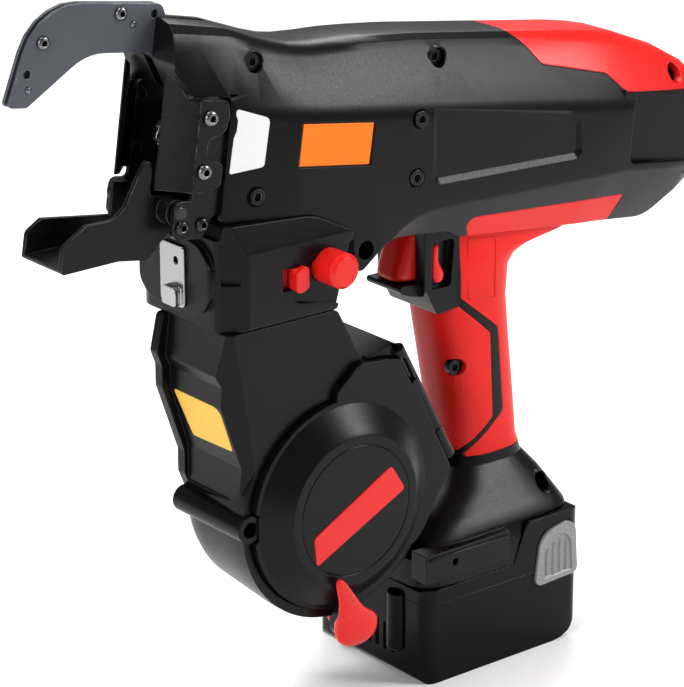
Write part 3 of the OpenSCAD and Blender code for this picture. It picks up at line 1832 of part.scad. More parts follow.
left_housing();
right_housing();
rear_cover();
left_grip();
right_grip();
front_grip();
rear_panel();
torque_dial();
power_button();
control_board();
housing_screws();
left_contact_plate();
right_contact_plate();
contact_screws();
left_side_frame();
right_side_frame();
arm_mount();
arm_left_plate();
arm_core();
arm_right_plate();
arm_screws();
lower_guide();
guide_pin();
twist_motor();
sun_pinion();
planet_a();
planet_b();
planet_c();
carrier();
gear_case();
twister_sleeve();
twister_hooks();
front_bearing();
feed_housing();
wire_guide_plate();
feed_bracket();
feed_motor();
drive_feed_gear();
idle_feed_gear();
push_button();
release_tab();
trigger();
trigger_switch();
trigger_spring();
trigger_lock();
magazine_body();
magazine_cover();
hinge_pin();
lock_lever();
reel_hub();
wire_reel();
wire_winding();
terminal_block();
battery_case();
battery_lid();
battery_cells();
battery_contacts();
left_battery_button();
right_battery_button();
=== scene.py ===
"""Looks of a hand held rebar tying tool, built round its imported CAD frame.

The frame is the CAD's: x to the rear, y to the tool's right, z up from the battery's base. The scene is in
metres, and the sizes and places of pieces are in millimetres, which point and head_point turn into metres.
The head leans nose up, so its own places are given as (u, w): along and above its reference line.
"""

import json
import math

import bmesh
import bpy
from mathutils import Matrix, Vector
from mathutils.bvhtree import BVHTree
from mathutils.geometry import intersect_line_line_2d


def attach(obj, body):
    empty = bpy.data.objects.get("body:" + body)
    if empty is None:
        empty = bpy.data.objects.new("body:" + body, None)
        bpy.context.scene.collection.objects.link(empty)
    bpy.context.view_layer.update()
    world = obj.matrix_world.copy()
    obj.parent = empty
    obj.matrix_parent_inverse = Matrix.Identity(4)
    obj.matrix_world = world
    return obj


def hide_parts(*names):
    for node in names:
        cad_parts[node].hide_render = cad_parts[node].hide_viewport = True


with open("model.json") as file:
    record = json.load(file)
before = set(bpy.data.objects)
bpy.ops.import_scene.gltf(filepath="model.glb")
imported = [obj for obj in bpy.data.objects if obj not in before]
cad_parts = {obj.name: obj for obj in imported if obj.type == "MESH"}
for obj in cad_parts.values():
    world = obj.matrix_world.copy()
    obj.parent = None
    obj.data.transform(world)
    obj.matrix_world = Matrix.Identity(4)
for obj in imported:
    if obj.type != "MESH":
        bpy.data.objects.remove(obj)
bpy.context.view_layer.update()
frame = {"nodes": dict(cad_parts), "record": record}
nodes = frame["nodes"]
scene = bpy.context.scene
MM = 0.001

# Camera of the photograph
PHOTO_SIZE = (684, 687)
FOCAL_PX = 3002.4
CAMERA_TARGET = Vector((-57.293, 0.0, 141.95)) * MM
CAMERA_DISTANCE = 1191.4 * MM
CAMERA_AZIMUTH = math.radians(38.824)
CAMERA_ELEVATION = math.radians(19.668)
SENSOR = 36.0

# The head's reference line
HEAD_TILT = math.radians(8.3)
HEAD_Z = 200.0


def point(x, y, z):
    """A point of the CAD frame, in metres from millimetres."""
    return Vector((x, y, z)) * MM


def head_point(u, y, w):
    """A point of the head's own frame, in metres from millimetres."""
    return point(
        u * math.cos(HEAD_TILT) + w * math.sin(HEAD_TILT),
        y,
        HEAD_Z - u * math.sin(HEAD_TILT) + w * math.cos(HEAD_TILT),
    )


# Camera and light


def make_camera():
    data = bpy.data.cameras.new("photo_camera")
    data.sensor_width = SENSOR
    data.lens = FOCAL_PX * SENSOR / max(PHOTO_SIZE)
    data.clip_start = 0.05
    data.clip_end = 60.0
    cam = bpy.data.objects.new("photo_camera", data)
    scene.collection.objects.link(cam)
    back = Vector((
        -math.sin(CAMERA_AZIMUTH) * math.cos(CAMERA_ELEVATION),
        -math.cos(CAMERA_AZIMUTH) * math.cos(CAMERA_ELEVATION),
        math.sin(CAMERA_ELEVATION),
    ))
    cam.location = CAMERA_TARGET + back * CAMERA_DISTANCE
    cam.rotation_mode = "QUATERNION"
    cam.rotation_quaternion = (-back).to_track_quat("-Z", "Y")
    scene.camera = cam


def area_lamp(name, place, aim, size, watts):
    data = bpy.data.lights.new(name, "AREA")
    data.shape = "RECTANGLE"
    data.size, data.size_y = size
    data.energy = watts
    lamp = bpy.data.objects.new(name, data)
    lamp.location = place
    lamp.rotation_mode = "QUATERNION"
    lamp.rotation_quaternion = (Vector(aim) - Vector(place)).to_track_quat("-Z", "Y")
    scene.collection.objects.link(lamp)


def make_light():
    middle = (-0.05, 0.0, 0.15)
    area_lamp("top_softbox", (-0.25, 0.25, 1.35), middle, (0.9, 0.5), 17.0)
    area_lamp("front_softbox", (-1.5, -0.55, 0.75), middle, (0.45, 0.8), 12.0)
    area_lamp("side_softbox", (0.98, -0.95, 1.05), middle, (0.45, 0.6), 19.0)
    area_lamp("rear_softbox", (0.75, 0.75, 1.15), middle, (0.6, 0.6), 10.0)
    world = bpy.data.worlds.new("studio")
    world.use_nodes = True
    tree = world.node_tree
    tree.nodes["Background"].inputs["Color"].default_value = (1.0, 1.0, 1.0, 1.0)
    tree.nodes["Background"].inputs["Strength"].default_value = 0.22
    scene.world = world


def make_floor():
    mesh = bpy.data.meshes.new("floor")
    half = 8.0
    mesh.from_pydata(
        [(-half, -half, 0), (half, -half, 0), (half, half, 0), (-half, half, 0)], [], [(0, 1, 2, 3)]
    )
    floor = bpy.data.objects.new("floor", mesh)
    scene.collection.objects.link(floor)
    mat = bpy.data.materials.new("floor_paper")
    mat.use_nodes = True
    shader = mat.node_tree.nodes["Principled BSDF"]
    shader.inputs["Base Color"].default_value = (0.95, 0.95, 0.95, 1.0)
    shader.inputs["Roughness"].default_value = 0.9
    shader.inputs["Specular IOR Level"].default_value = 0.1
    mesh.materials.append(mat)


# Materials


class Nodes:
    """A material's node tree, with short calls to add and join nodes."""

    def __init__(self, name):
        self.material = bpy.data.materials.new(name)
        self.material.use_nodes = True
        self.tree = self.material.node_tree
        self.shader = self.tree.nodes["Principled BSDF"]

    def add(self, kind, **inputs):
        node = self.tree.nodes.new("ShaderNode" + kind)
        for key, value in inputs.items():
            self.set(node, key.replace("_", " "), value)
        return node

    def set(self, node, key, value):
        socket = node.inputs[key]
        if isinstance(value, bpy.types.NodeSocket):
            self.tree.links.new(value, socket)
        else:
            socket.default_value = value

    def noise(self, scale, detail=2.0, rough=0.5):
        node = self.add("TexNoise", Scale=scale, Detail=detail, Roughness=rough)
        self.tree.links.new(self.coords(), node.inputs["Vector"])
        return node.outputs["Fac"]

    def coords(self):
        return self.add("TexCoord").outputs["Object"]

    def span(self, value, low, high, to_low, to_high):
        node = self.add("MapRange", Value=value)
        for key, number in zip(("From Min", "From Max", "To Min", "To Max"), (low, high, to_low, to_high)):
            node.inputs[key].default_value = number
        return node.outputs["Result"]

    def mix(self, factor, a, b):
        node = self.add("Mix")
        node.data_type = "RGBA"
        self.set(node, 0, factor)
        self.set(node, 6, a)
        self.set(node, 7, b)
        return node.outputs[2]

    def times(self, a, b):
        node = self.add("Math")
        node.operation = "MULTIPLY"
        self.set(node, 0, a)
        self.set(node, 1, b)
        return node.outputs[0]

    def edge(self, radius):
        """1 along the solid's sharp edges, 0 on its faces, and the rounded normal."""
        bevel = self.add("Bevel", Radius=radius)
        bevel.samples = 6
        geometry = self.add("NewGeometry")
        dot = self.add("VectorMath")
        dot.operation = "DOT_PRODUCT"
        self.tree.links.new(bevel.outputs[0], dot.inputs[0])
        self.tree.links.new(geometry.outputs["Normal"], dot.inputs[1])
        return self.span(dot.outputs["Value"], 0.995, 0.86, 0.0, 1.0), bevel.outputs[0]


def shade(colour, factor):
    return tuple(min(1.0, c * factor) for c in colour) + (1.0,)


EDGE_RADIUS = 0.7 * MM
GRAIN_DEPTH = 0.4 * MM
TONE_SCALE = 28.0
EDGE_WEAR_AND_HIGHLIGHT_SCALE = 240.0


def finish(
    name, colour, rough, edge_wear_and_highlight, metal=0.0, grain=1100.0, bump=0.10, spread=0.10, mottle=0.10,
    edge_wear_and_highlight_share=0.5, stretch=None, gleam=0.5,
):
    """Procedural surface: tone that varies, fine grain in bump and roughness, and sharp edges painted lighter
    in patches, partly as wear and partly as a painted edge highlight.
    """
    n = Nodes(name)
    shader = n.shader
    tone = n.noise(TONE_SCALE, 3.0)
    fine = n.noise(grain, 2.0, 0.6)
    if stretch:
        mapping = n.add("Mapping")
        mapping.inputs["Scale"].default_value = stretch
        n.tree.links.new(n.coords(), mapping.inputs["Vector"])
        brushed = n.add("TexNoise", Scale=grain, Detail=2.0)
        n.tree.links.new(mapping.outputs[0], brushed.inputs["Vector"])
        fine = brushed.outputs["Fac"]
    paint = n.mix(n.span(tone, 0.3, 0.7, 0.0, 1.0), shade(colour, 1 - mottle), shade(colour, 1 + mottle))
    # Sharp edges take the lighter edge colour in noise patches: partly wear, partly a painted edge highlight.
    along_edge, normal = n.edge(EDGE_RADIUS)
    patchy = n.span(n.noise(EDGE_WEAR_AND_HIGHLIGHT_SCALE, 4.0, 0.65), 0.42, 0.66, 0.0, edge_wear_and_highlight_share)
    paint = n.mix(n.times(along_edge, patchy), paint, tuple(edge_wear_and_highlight) + (1.0,))
    n.set(shader, "Base Color", paint)
    n.set(shader, "Roughness", n.span(fine, 0.25, 0.75, rough - spread, rough + spread))
    shader.inputs["Metallic"].default_value = metal
    shader.inputs["Specular IOR Level"].default_value = gleam
    relief = n.add("Bump", Height=fine, Normal=normal)
    relief.inputs["Strength"].default_value = bump
    relief.inputs["Distance"].default_value = GRAIN_DEPTH
    n.set(shader, "Normal", relief.outputs[0])
    return n.material


# Each finish's last colour goes on its sharp edges in patches, as wear and as a painted edge highlight.
LOOKS = {
    "black_plastic": finish(
        "black_moulding", (0.0026, 0.0025, 0.0033), 0.32, bump=0.04, spread=0.04, gleam=0.15,
        edge_wear_and_highlight=(0.040, 0.040, 0.044), edge_wear_and_highlight_share=0.35
    ),
    "dark_plastic": finish(
        "dark_moulding", (0.0024, 0.0024, 0.0030), 0.32, gleam=0.09, edge_wear_and_highlight=(0.025, 0.025, 0.03)
    ),
    "battery_plastic": finish(
        "glossy_black_moulding", (0.0022, 0.0022, 0.0028), 0.15, bump=0.03, spread=0.04, gleam=0.11,
        edge_wear_and_highlight=(0.03, 0.03, 0.034), edge_wear_and_highlight_share=0.3
    ),
    "red_plastic": finish(
        "red_moulding", (0.68, 0.012, 0.009), 0.26, bump=0.02, spread=0.03, mottle=0.05, gleam=0.26,
        edge_wear_and_highlight=(0.83, 0.09, 0.07), edge_wear_and_highlight_share=0.35
    ),
    "red_grip": finish(
        "red_rubber", (0.68, 0.011, 0.007), 0.44, grain=1500.0, bump=0.18, mottle=0.07, gleam=0.18,
        edge_wear_and_highlight=(0.78, 0.07, 0.05), edge_wear_and_highlight_share=0.3
    ),
    "steel": finish(
        "bright_steel", (0.42, 0.42, 0.43), 0.22, metal=1.0, grain=420.0, bump=0.06,
        edge_wear_and_highlight=(0.72, 0.72, 0.73), edge_wear_and_highlight_share=0.5, stretch=(1.0, 1.0, 14.0)
    ),
    "dark_steel": finish(
        "grey_coated_steel", (0.082, 0.087, 0.104), 0.42, metal=0.45, grain=1300.0, bump=0.10, gleam=0.25,
        edge_wear_and_highlight=(0.42, 0.42, 0.44), edge_wear_and_highlight_share=0.55
    ),
    "black_steel": finish(
        "black_coated_steel", (0.0048, 0.0048, 0.0056), 0.32, metal=0.15, grain=1200.0, bump=0.08, gleam=0.17,
        edge_wear_and_highlight=(0.26, 0.26, 0.27), edge_wear_and_highlight_share=0.5
    ),
    "aluminium": finish(
        "cast_aluminium", (0.50, 0.50, 0.51), 0.45, metal=1.0, grain=800.0, bump=0.18, edge_wear_and_highlight=(0.7, 0.7, 0.7)
    ),
    "bronze": finish("bearing_bronze", (0.50, 0.34, 0.14), 0.34, metal=1.0, edge_wear_and_highlight=(0.7, 0.55, 0.3)),
    "copper": finish("contact_copper", (0.62, 0.30, 0.16), 0.30, metal=1.0, edge_wear_and_highlight=(0.8, 0.5, 0.35)),
    "board": finish("green_board", (0.02, 0.14, 0.06), 0.35, edge_wear_and_highlight=(0.10, 0.25, 0.15)),
    "cell": finish("cell_sleeve", (0.09, 0.20, 0.36), 0.32, edge_wear_and_highlight=(0.2, 0.3, 0.45)),
    "grey_plastic": finish(
        "grey_moulding", (0.21, 0.21, 0.215), 0.30, metal=0.35, bump=0.03, spread=0.05, mottle=0.05,
        edge_wear_and_highlight=(0.5, 0.5, 0.5), edge_wear_and_highlight_share=0.3
    ),
}
# Screws and pins
SCREW_STEEL = finish(
    "oiled_screw_steel", (0.17, 0.17, 0.18), 0.25, metal=1.0, grain=700.0, bump=0.05, spread=0.06,
    edge_wear_and_highlight=(0.5, 0.5, 0.51), edge_wear_and_highlight_share=0.6
)
BLACK_SCREW = finish(
    "black_screw_steel", (0.035, 0.035, 0.038), 0.28, metal=0.9, grain=700.0, bump=0.05, spread=0.06,
    edge_wear_and_highlight=(0.42, 0.42, 0.43), edge_wear_and_highlight_share=0.6
)
# Films of the bare plates and stickers
ORANGE_FILM = finish(
    "orange_film", (0.88, 0.175, 0.003), 0.34, grain=900.0, bump=0.04, mottle=0.05, gleam=0.2,
    edge_wear_and_highlight=(0.95, 0.42, 0.16), edge_wear_and_highlight_share=0.3
)
YELLOW_FILM = finish(
    "yellow_film", (0.80, 0.47, 0.055), 0.38, grain=900.0, bump=0.05, mottle=0.06, gleam=0.2,
    edge_wear_and_highlight=(0.88, 0.66, 0.30), edge_wear_and_highlight_share=0.3
)
PALE_FILM = finish(
    "pale_film", (0.72, 0.72, 0.72), 0.36, grain=900.0, bump=0.04, mottle=0.04, gleam=0.3,
    edge_wear_and_highlight=(0.85, 0.85, 0.85), edge_wear_and_highlight_share=0.3
)

# CAD pins with the black screws' look
BLACK_PINS = ("guide_pin", "hinge_pin")
SMOOTH_ANGLE = math.radians(21)
WELD_DISTANCE = 0.002 * MM


def smooth_group():
    """Node group that welds a solid's faces and shades it smooth but for its sharp edges."""
    group = bpy.data.node_groups.new("smooth_by_angle", "GeometryNodeTree")
    group.interface.new_socket("Geometry", in_out="INPUT", socket_type="NodeSocketGeometry")
    group.interface.new_socket("Geometry", in_out="OUTPUT", socket_type="NodeSocketGeometry")
    add = group.nodes.new
    join = group.links.new
    start, end = add("NodeGroupInput"), add("NodeGroupOutput")
    weld = add("GeometryNodeMergeByDistance")
    weld.inputs["Distance"].default_value = WELD_DISTANCE
    faces, edges = add("GeometryNodeSetShadeSmooth"), add("GeometryNodeSetShadeSmooth")
    edges.domain = "EDGE"
    edges.inputs["Shade Smooth"].default_value = False
    angle = add("GeometryNodeInputMeshEdgeAngle")
    sharp = add("FunctionNodeCompare")
    sharp.inputs[1].default_value = SMOOTH_ANGLE
    join(angle.outputs["Unsigned Angle"], sharp.inputs[0])
    join(start.outputs[0], weld.inputs["Geometry"])
    join(weld.outputs[0], faces.inputs["Geometry"])
    join(faces.outputs[0], edges.inputs["Geometry"])
    join(sharp.outputs[0], edges.inputs["Selection"])
    join(edges.outputs[0], end.inputs[0])
    return group


def dress_nodes():
    """Gives each CAD node its material and smooth shading."""
    slots = {p["node"]: p["material_slot"] for p in frame["record"]["subparts"]}
    for name, obj in nodes.items():
        mesh = obj.data
        mesh.materials.clear()
        mesh.materials.append(BLACK_SCREW if name in BLACK_PINS else LOOKS[slots[name]])
        if "custom_normal" in mesh.attributes:
            mesh.attributes.remove(mesh.attributes["custom_normal"])
        obj.modifiers.new("smooth", "NODES").node_group = SMOOTH


# Pieces that the scene adds


def add_piece(name, mesh, material, body, stands_for=None):
    """Makes a piece that rides on a body, in place of the CAD node that it stands for."""
    data = bpy.data.meshes.new(name)
    mesh.to_mesh(data)
    mesh.free()
    data.materials.append(material)
    piece = bpy.data.objects.new(name, data)
    scene.collection.objects.link(piece)
    piece.modifiers.new("smooth", "NODES").node_group = SMOOTH
    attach(piece, body)
    if stands_for:
        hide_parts(stands_for)


def bridge(mesh, rows, ring=True):
    """Fills the quads between rows of vertices, round each ring or from end to end."""
    count = len(rows[0])
    for one, two in zip(rows, rows[1:]):
        for k in range(count if ring else count - 1):
            mesh.faces.new((one[k], one[(k + 1) % count], two[(k + 1) % count], two[k]))


# Bare plates and a raised outline, laid on the solids that carry them


def skin_of(*names):
    """A tree of the CAD nodes' faces, for laying pieces on them."""
    points, faces = [], []
    for name in names:
        mesh = nodes[name].data
        base = len(points)
        points += [v.co.copy() for v in mesh.vertices]
        faces += [[base + i for i in f.vertices] for f in mesh.polygons]
    return BVHTree.FromPolygons(points, faces)


def rounded(corners, steps=7):
    """Points round a polygon of (a, b, radius) corners, as (a, b, outward a, outward b)."""
    path = []
    for k, (a, b, radius) in enumerate(corners):
        here = Vector((a, b))
        back = (Vector(corners[k - 1][:2]) - here).normalized()
        ahead = (Vector(corners[(k + 1) % len(corners)][:2]) - here).normalized()
        half = back.angle(ahead) / 2
        middle = here + (back + ahead).normalized() * radius / math.sin(half)
        first = here + back * radius / math.tan(half) - middle
        last = here + ahead * radius / math.tan(half) - middle
        for step in range(steps + 1):
            share = step / steps
            out = (first.normalized() * (1 - share) + last.normalized() * share).normalized()
            path.append((*(middle + out * radius), *out))
    return path


def laid_piece(name, corners, lift, press, carriers, body, rings, material, capped=True):
    """A piece whose rings follow a rounded outline on the surface of the nodes that carry it.

    lift(a, b) puts a point of the outline outside the surface, press is the way in from there, and each
    ring is (inset, height) in millimetres from the outline and from the surface.
    """
    skin = skin_of(*carriers)
    press = Vector(press).normalized()
    path = rounded(corners)
    centre = (sum(p[0] for p in path) / len(path), sum(p[1] for p in path) / len(path))

    def place(a, b, height):
        hit = skin.ray_cast(lift(a, b), press)[0]
        if hit is None:
            raise ValueError(name + " misses what carries it")
        return hit - press * height * MM

    mesh = bmesh.new()
    loops = [
        [mesh.verts.new(place(a - na * inset, b - nb * inset, height)) for a, b, na, nb in path]
        for inset, height in rings
    ]
    if capped:
        inset, height = rings[-1]
        for share in (0.66, 0.33):
            loops.append([
                mesh.verts.new(place(
                    centre[0] + (a - na * inset - centre[0]) * share,
                    centre[1] + (b - nb * inset - centre[1]) * share, height,
                ))
                for a, b, na, nb in path
            ])
    bridge(mesh, loops)
    if capped:
        top = mesh.verts.new(place(*centre, rings[-1][1]))
        for k in range(len(path)):
            mesh.faces.new((loops[-1][k], loops[-1][(k + 1) % len(path)], top))
    bmesh.ops.remove_doubles(mesh, verts=mesh.verts[:], dist=1e-7)
    bmesh.ops.recalc_face_normals(mesh, faces=mesh.faces[:])
    if sum((f.normal * f.calc_area() for f in mesh.faces), Vector()).dot(press) > 0:
        bmesh.ops.reverse_faces(mesh, faces=mesh.faces[:])
    add_piece(name, mesh, material, body)


# Rings of laid pieces: how far in from the outline, and how high over the surface
PLATE = [(0.0, -0.15), (0.0, 0.25), (0.12, 0.40)]
STICKER = [(0.0, -0.10), (0.0, 0.10), (0.06, 0.16)]
RAISED_LINE = [(0.0, -0.15), (0.12, 0.30), (0.55, 0.30), (0.70, -0.15)]
# The ways in, and planes that lie outside the tool
RIGHTWARD = (0, 1, 0)
REARWARD = (1, 0, 0)
OUT_LEFT = -80.0
OUT_FRONT = -240.0


def from_left(x, z):
    return point(x, OUT_LEFT, z)


def head_left(u, w):
    return head_point(u, OUT_LEFT, w)


def from_front(y, z):
    return point(OUT_FRONT, y, z)


def make_plates():
    laid_piece(
        "badge_plate", [(-102.5, 14.0, 0.4), (-69.0, 14.0, 0.4), (-69.0, 30.2, 0.4), (-102.5, 30.2, 0.4)],
        head_left, RIGHTWARD, ["left_housing"], "housing", PLATE, ORANGE_FILM
    )
    laid_piece(
        "side_sticker",
        [(-132.6, 11.5, 0.8), (-118.0, 14.3, 1.6), (-117.4, 32.6, 2.2), (-131.8, 35.9, 1.2)],
        head_left, RIGHTWARD, ["left_housing"], "housing", STICKER, PALE_FILM
    )
    laid_piece(
        "neck_plate",
        [(4.9, 140.2, 1.2), (0.2, 121.0, 1.2), (-25.3, 121.8, 1.2), (-24.3, 140.2, 4.0)],
        from_front, REARWARD, ["magazine_body"], "housing", STICKER, YELLOW_FILM
    )
    laid_piece(
        "cover_plate",
        [(-104.9, 84.6, 3.0), (-103.6, 72.5, 1.0), (-59.6, 94.2, 1.6), (-66.5, 105.4, 2.0)],
        from_left, RIGHTWARD, ["magazine_cover"], "cover", PLATE, LOOKS["red_plastic"]
    )
    laid_piece(
        "grip_outline",
        [(-4.8, 153.2, 1.2), (10.2, 150.9, 1.2), (9.6, 177.2, 1.2), (-4.8, 179.4, 1.2)],
        from_left, RIGHTWARD, ["left_grip"], "housing", RAISED_LINE, LOOKS["red_grip"],
        capped=False
    )


# Pieces that stand in for CAD nodes, or stand on them, with finer forms


def add_form(name, mesh, material, body, stands_for=None):
    """Turns a lofted mesh's faces outward and makes a piece of it."""
    bmesh.ops.recalc_face_normals(mesh, faces=mesh.faces[:])
    add_piece(name, mesh, material, body, stands_for)


def loft(mesh, loops, ring=True):
    """Skins loops of points, as rings or as a sheet, and closes the first and last loop."""
    rows = [[mesh.verts.new(place) for place in loop] for loop in loops]
    bridge(mesh, rows, ring)
    mesh.faces.new(rows[0])
    mesh.faces.new(rows[-1])


def turns(count):
    """Even angles round a circle."""
    return [2 * math.pi * k / count for k in range(count)]


def pin_along_y(mesh, x, z, radius, ends):
    loft(mesh, [
        [point(x + radius * math.cos(t), y, z + radius * math.sin(t)) for t in turns(24)] for y in ends
    ])


# Profiles of fasteners, as shares of their radius and height
BUTTON_HEAD = [
    (1.0, -0.3), (1.0, 0.25), (0.985, 0.40), (0.94, 0.56), (0.86, 0.72), (0.75, 0.86), (0.60, 0.95),
    (0.52, 0.98),
]
HEX_SOCKET = [(0.48, 0.98), (0.46, 0.30)]
RIVET = [(1.0, -0.3), (1.0, 0.30), (0.95, 0.62), (0.80, 0.85), (0.55, 0.97), (0.25, 1.0)]
NUT = [(1.1, -0.3), (1.1, 0.9), (1.0, 1.0)]


def fastener(mesh, spot, y, radius, height, profile=(), hexagon=()):
    """A head on the plane y of the head's frame, of round rows and then six sided ones."""

    def row(scale, share, flats):
        level = y + math.copysign(share * height, y)
        points = []
        for t in turns(24):
            reach = scale * radius
            if flats:
                reach *= math.cos(math.pi / 6) / math.cos(t % (math.pi / 3) - math.pi / 6)
            points.append(head_point(spot[0] + reach * math.cos(t), level, spot[1] + reach * math.sin(t)))
        return points

    loft(mesh, [row(*step, False) for step in profile] + [row(*step, True) for step in hexagon])


# Radius and height of each kind of head
ARM_HEAD = (2.6, 1.5)
ARM_NUT = (3.0, 1.6)
ARM_RIVET = (1.3, 0.5)
PLATE_HEAD = (3.1, 1.9)
BRACKET_HEAD = (2.8, 1.7)
# The faces that heads sit on, as distances from the tool's middle plane, and their places in the head's frame
ARM_FACE = 2.3
ARM_SCREWS = [(-172.7, 67.4), (-205.1, 57.0)]
ARM_RIVETS = [(-166.7, 63.5), (-209.6, 40.0)]
PLATE_FACE = 23.4
PLATE_SCREWS = [(-143.6, 32.8), (-144.0, 12.8)]
BRACKET_FACE = 21.4
BRACKET_SCREWS = [(-150.0, -8.3), (-141.0, -7.5)]


def make_fasteners():
    arm, plate, bracket = bmesh.new(), bmesh.new(), bmesh.new()
    for spot in ARM_SCREWS:
        fastener(arm, spot, -ARM_FACE, *ARM_HEAD, BUTTON_HEAD, HEX_SOCKET)
        fastener(arm, spot, ARM_FACE, *ARM_NUT, hexagon=NUT)
    for side in (-1, 1):
        for spot in ARM_RIVETS:
            fastener(arm, spot, side * ARM_FACE, *ARM_RIVET, RIVET)
        for spot in PLATE_SCREWS:
            fastener(plate, spot, side * PLATE_FACE, *PLATE_HEAD, BUTTON_HEAD, HEX_SOCKET)
        for spot in BRACKET_SCREWS:
            fastener(bracket, spot, side * BRACKET_FACE, *BRACKET_HEAD, BUTTON_HEAD, HEX_SOCKET)
    add_form("arm_screw_heads", arm, SCREW_STEEL, "housing", "arm_screws")
    add_form("plate_screw_heads", plate, SCREW_STEEL, "housing", "contact_screws")
    add_form("bracket_screw_heads", bracket, BLACK_SCREW, "housing")


TRIGGER_REAR = -22.0
TRIGGER_HALF_WIDTH = 8.6
NOSE_DEPTH = 9.0
NOSE_END = TRIGGER_REAR - 0.5
NOSE_POWER = 0.62
NOSE_STEPS = 28
# Height, front edge there, and how far the sides are drawn in
TRIGGER = [
    (163.9, -33.8, 1.6), (164.2, -34.7, 0.9), (164.8, -35.3, 0.35), (165.8, -35.5, 0.05), (167.5, -35.2, 0.0),
    (170.0, -34.4, 0.0), (172.5, -33.6, 0.0), (175.0, -32.8, 0.0), (177.5, -31.9, 0.0), (180.0, -31.0, 0.0),
    (182.5, -30.0, 0.0), (185.0, -29.0, 0.2),
]


def make_trigger():
    """A blade with a rounded nose, open at the rear."""
    mesh = bmesh.new()
    rows = []
    for z, front, inset in TRIGGER:
        half = TRIGGER_HALF_WIDTH - inset
        depth = min(NOSE_DEPTH, NOSE_END - front)
        row = [point(TRIGGER_REAR, -half, z)]
        for k in range(NOSE_STEPS + 1):
            turn = math.pi * (k / NOSE_STEPS - 0.5)
            row.append(point(
                front + depth * (1 - max(0.0, math.cos(turn)) ** NOSE_POWER),
                math.copysign(half * abs(math.sin(turn)) ** NOSE_POWER, turn), z,
            ))
        row.append(point(TRIGGER_REAR, half, z))
        rows.append(row)
    loft(mesh, rows, ring=False)
    add_form("trigger_blade", mesh, LOOKS["red_plastic"], "trigger", "trigger")


LOCK_Y = -13.05
LOCK_PIVOT = (-20.0, 177.0)
LOCK_PIN_RADIUS = 1.5
LOCK_PIN_Y = (-12.6, -9.3)
# Height, x of the middle, half width and half depth
LOCK = [
    (179.3, -20.4, 0.7, 0.7), (178.8, -20.4, 1.2, 1.1), (177.5, -20.5, 1.5, 1.3), (175.0, -20.6, 1.5, 1.3),
    (172.6, -20.6, 1.5, 1.3), (170.8, -20.3, 1.8, 1.4), (169.4, -19.9, 2.3, 1.6), (168.0, -19.5, 2.7, 1.7),
    (166.4, -19.1, 2.9, 1.75), (164.9, -19.0, 2.7, 1.7), (163.7, -19.0, 2.0, 1.5), (163.0, -19.0, 1.1, 1.0),
]


def make_trigger_lock():
    """A drop that hangs from its pin."""
    mesh = bmesh.new()
    loft(mesh, [
        [point(x + half * math.cos(t), LOCK_Y + deep * math.sin(t), z) for t in turns(24)]
        for z, x, half, deep in LOCK
    ])
    pin_along_y(mesh, *LOCK_PIVOT, LOCK_PIN_RADIUS, LOCK_PIN_Y)
    add_form("lock_drop", mesh, LOOKS["red_plastic"], "trigger_lock", "trigger_lock")


LEVER_PIVOT = (-80.0, 39.0)
LEVER_PIN_RADIUS = 3.0
LEVER_PIN_Y = (-35.4, -22.5)
LEVER_POWER = 0.8
CATCH = [(-80.0, 37.0), (-71.0, 37.0), (-71.0, 41.0), (-80.0, 41.0)]
CATCH_Y = (-25.0, -22.5)
# Height, x of the front and rear edges, and y of the outer and inner faces
LEVER = [
    (65.6, -95.2, -93.8, -45.6, -44.2), (65.0, -95.9, -92.9, -46.2, -43.7),
    (63.5, -96.0, -91.5, -46.4, -43.4), (60.0, -94.9, -88.7, -45.6, -42.5),
    (56.0, -93.5, -85.6, -44.9, -41.5), (52.5, -92.6, -82.9, -44.2, -40.6),
    (49.5, -92.2, -80.2, -43.7, -39.7), (47.3, -92.1, -77.4, -43.4, -38.9),
    (45.6, -92.1, -74.8, -43.2, -37.4), (43.8, -91.9, -72.6, -43.0, -35.6),
    (41.5, -91.6, -71.3, -42.7, -34.7), (39.0, -91.2, -70.9, -42.3, -34.5),
    (36.5, -90.4, -71.2, -41.8, -34.5), (34.4, -88.9, -72.4, -41.1, -34.6),
    (32.8, -86.9, -74.2, -40.1, -34.9), (31.8, -85.0, -76.0, -39.1, -35.4),
    (31.3, -83.2, -77.8, -38.0, -36.2),
]


def swell(value):
    """A sine or cosine drawn outward, for an oval that is fuller than an ellipse."""
    return math.copysign(abs(value) ** LEVER_POWER, value)


def make_lever():
    """The lever's blade, its pin, and the catch on the pin's inner end."""
    mesh = bmesh.new()
    loft(mesh, [
        [
            point(
                (front + rear) / 2 + (rear - front) / 2 * swell(math.cos(t)),
                (outer + inner) / 2 + (inner - outer) / 2 * swell(math.sin(t)), z,
            )
            for t in turns(32)
        ]
        for z, front, rear, outer, inner in LEVER
    ])
    pin_along_y(mesh, *LEVER_PIVOT, LEVER_PIN_RADIUS, LEVER_PIN_Y)
    loft(mesh, [[point(x, y, z) for x, z in CATCH] for y in CATCH_Y])
    add_form("lever_blade", mesh, LOOKS["red_plastic"], "lever", "lock_lever")


BUTTON_MIDDLE = Vector((28.6, 41.0))
BUTTON_OUTLINE = [(16.0, 28.0, 3.0), (40.0, 29.0, 3.0), (38.0, 55.0, 6.0), (19.0, 51.0, 9.0)]
BUTTON_ARCH = [(19.4, 30.4, 0.8), (37.0, 31.2, 0.8), (35.6, 51.0, 7.6), (21.4, 48.0, 7.6)]
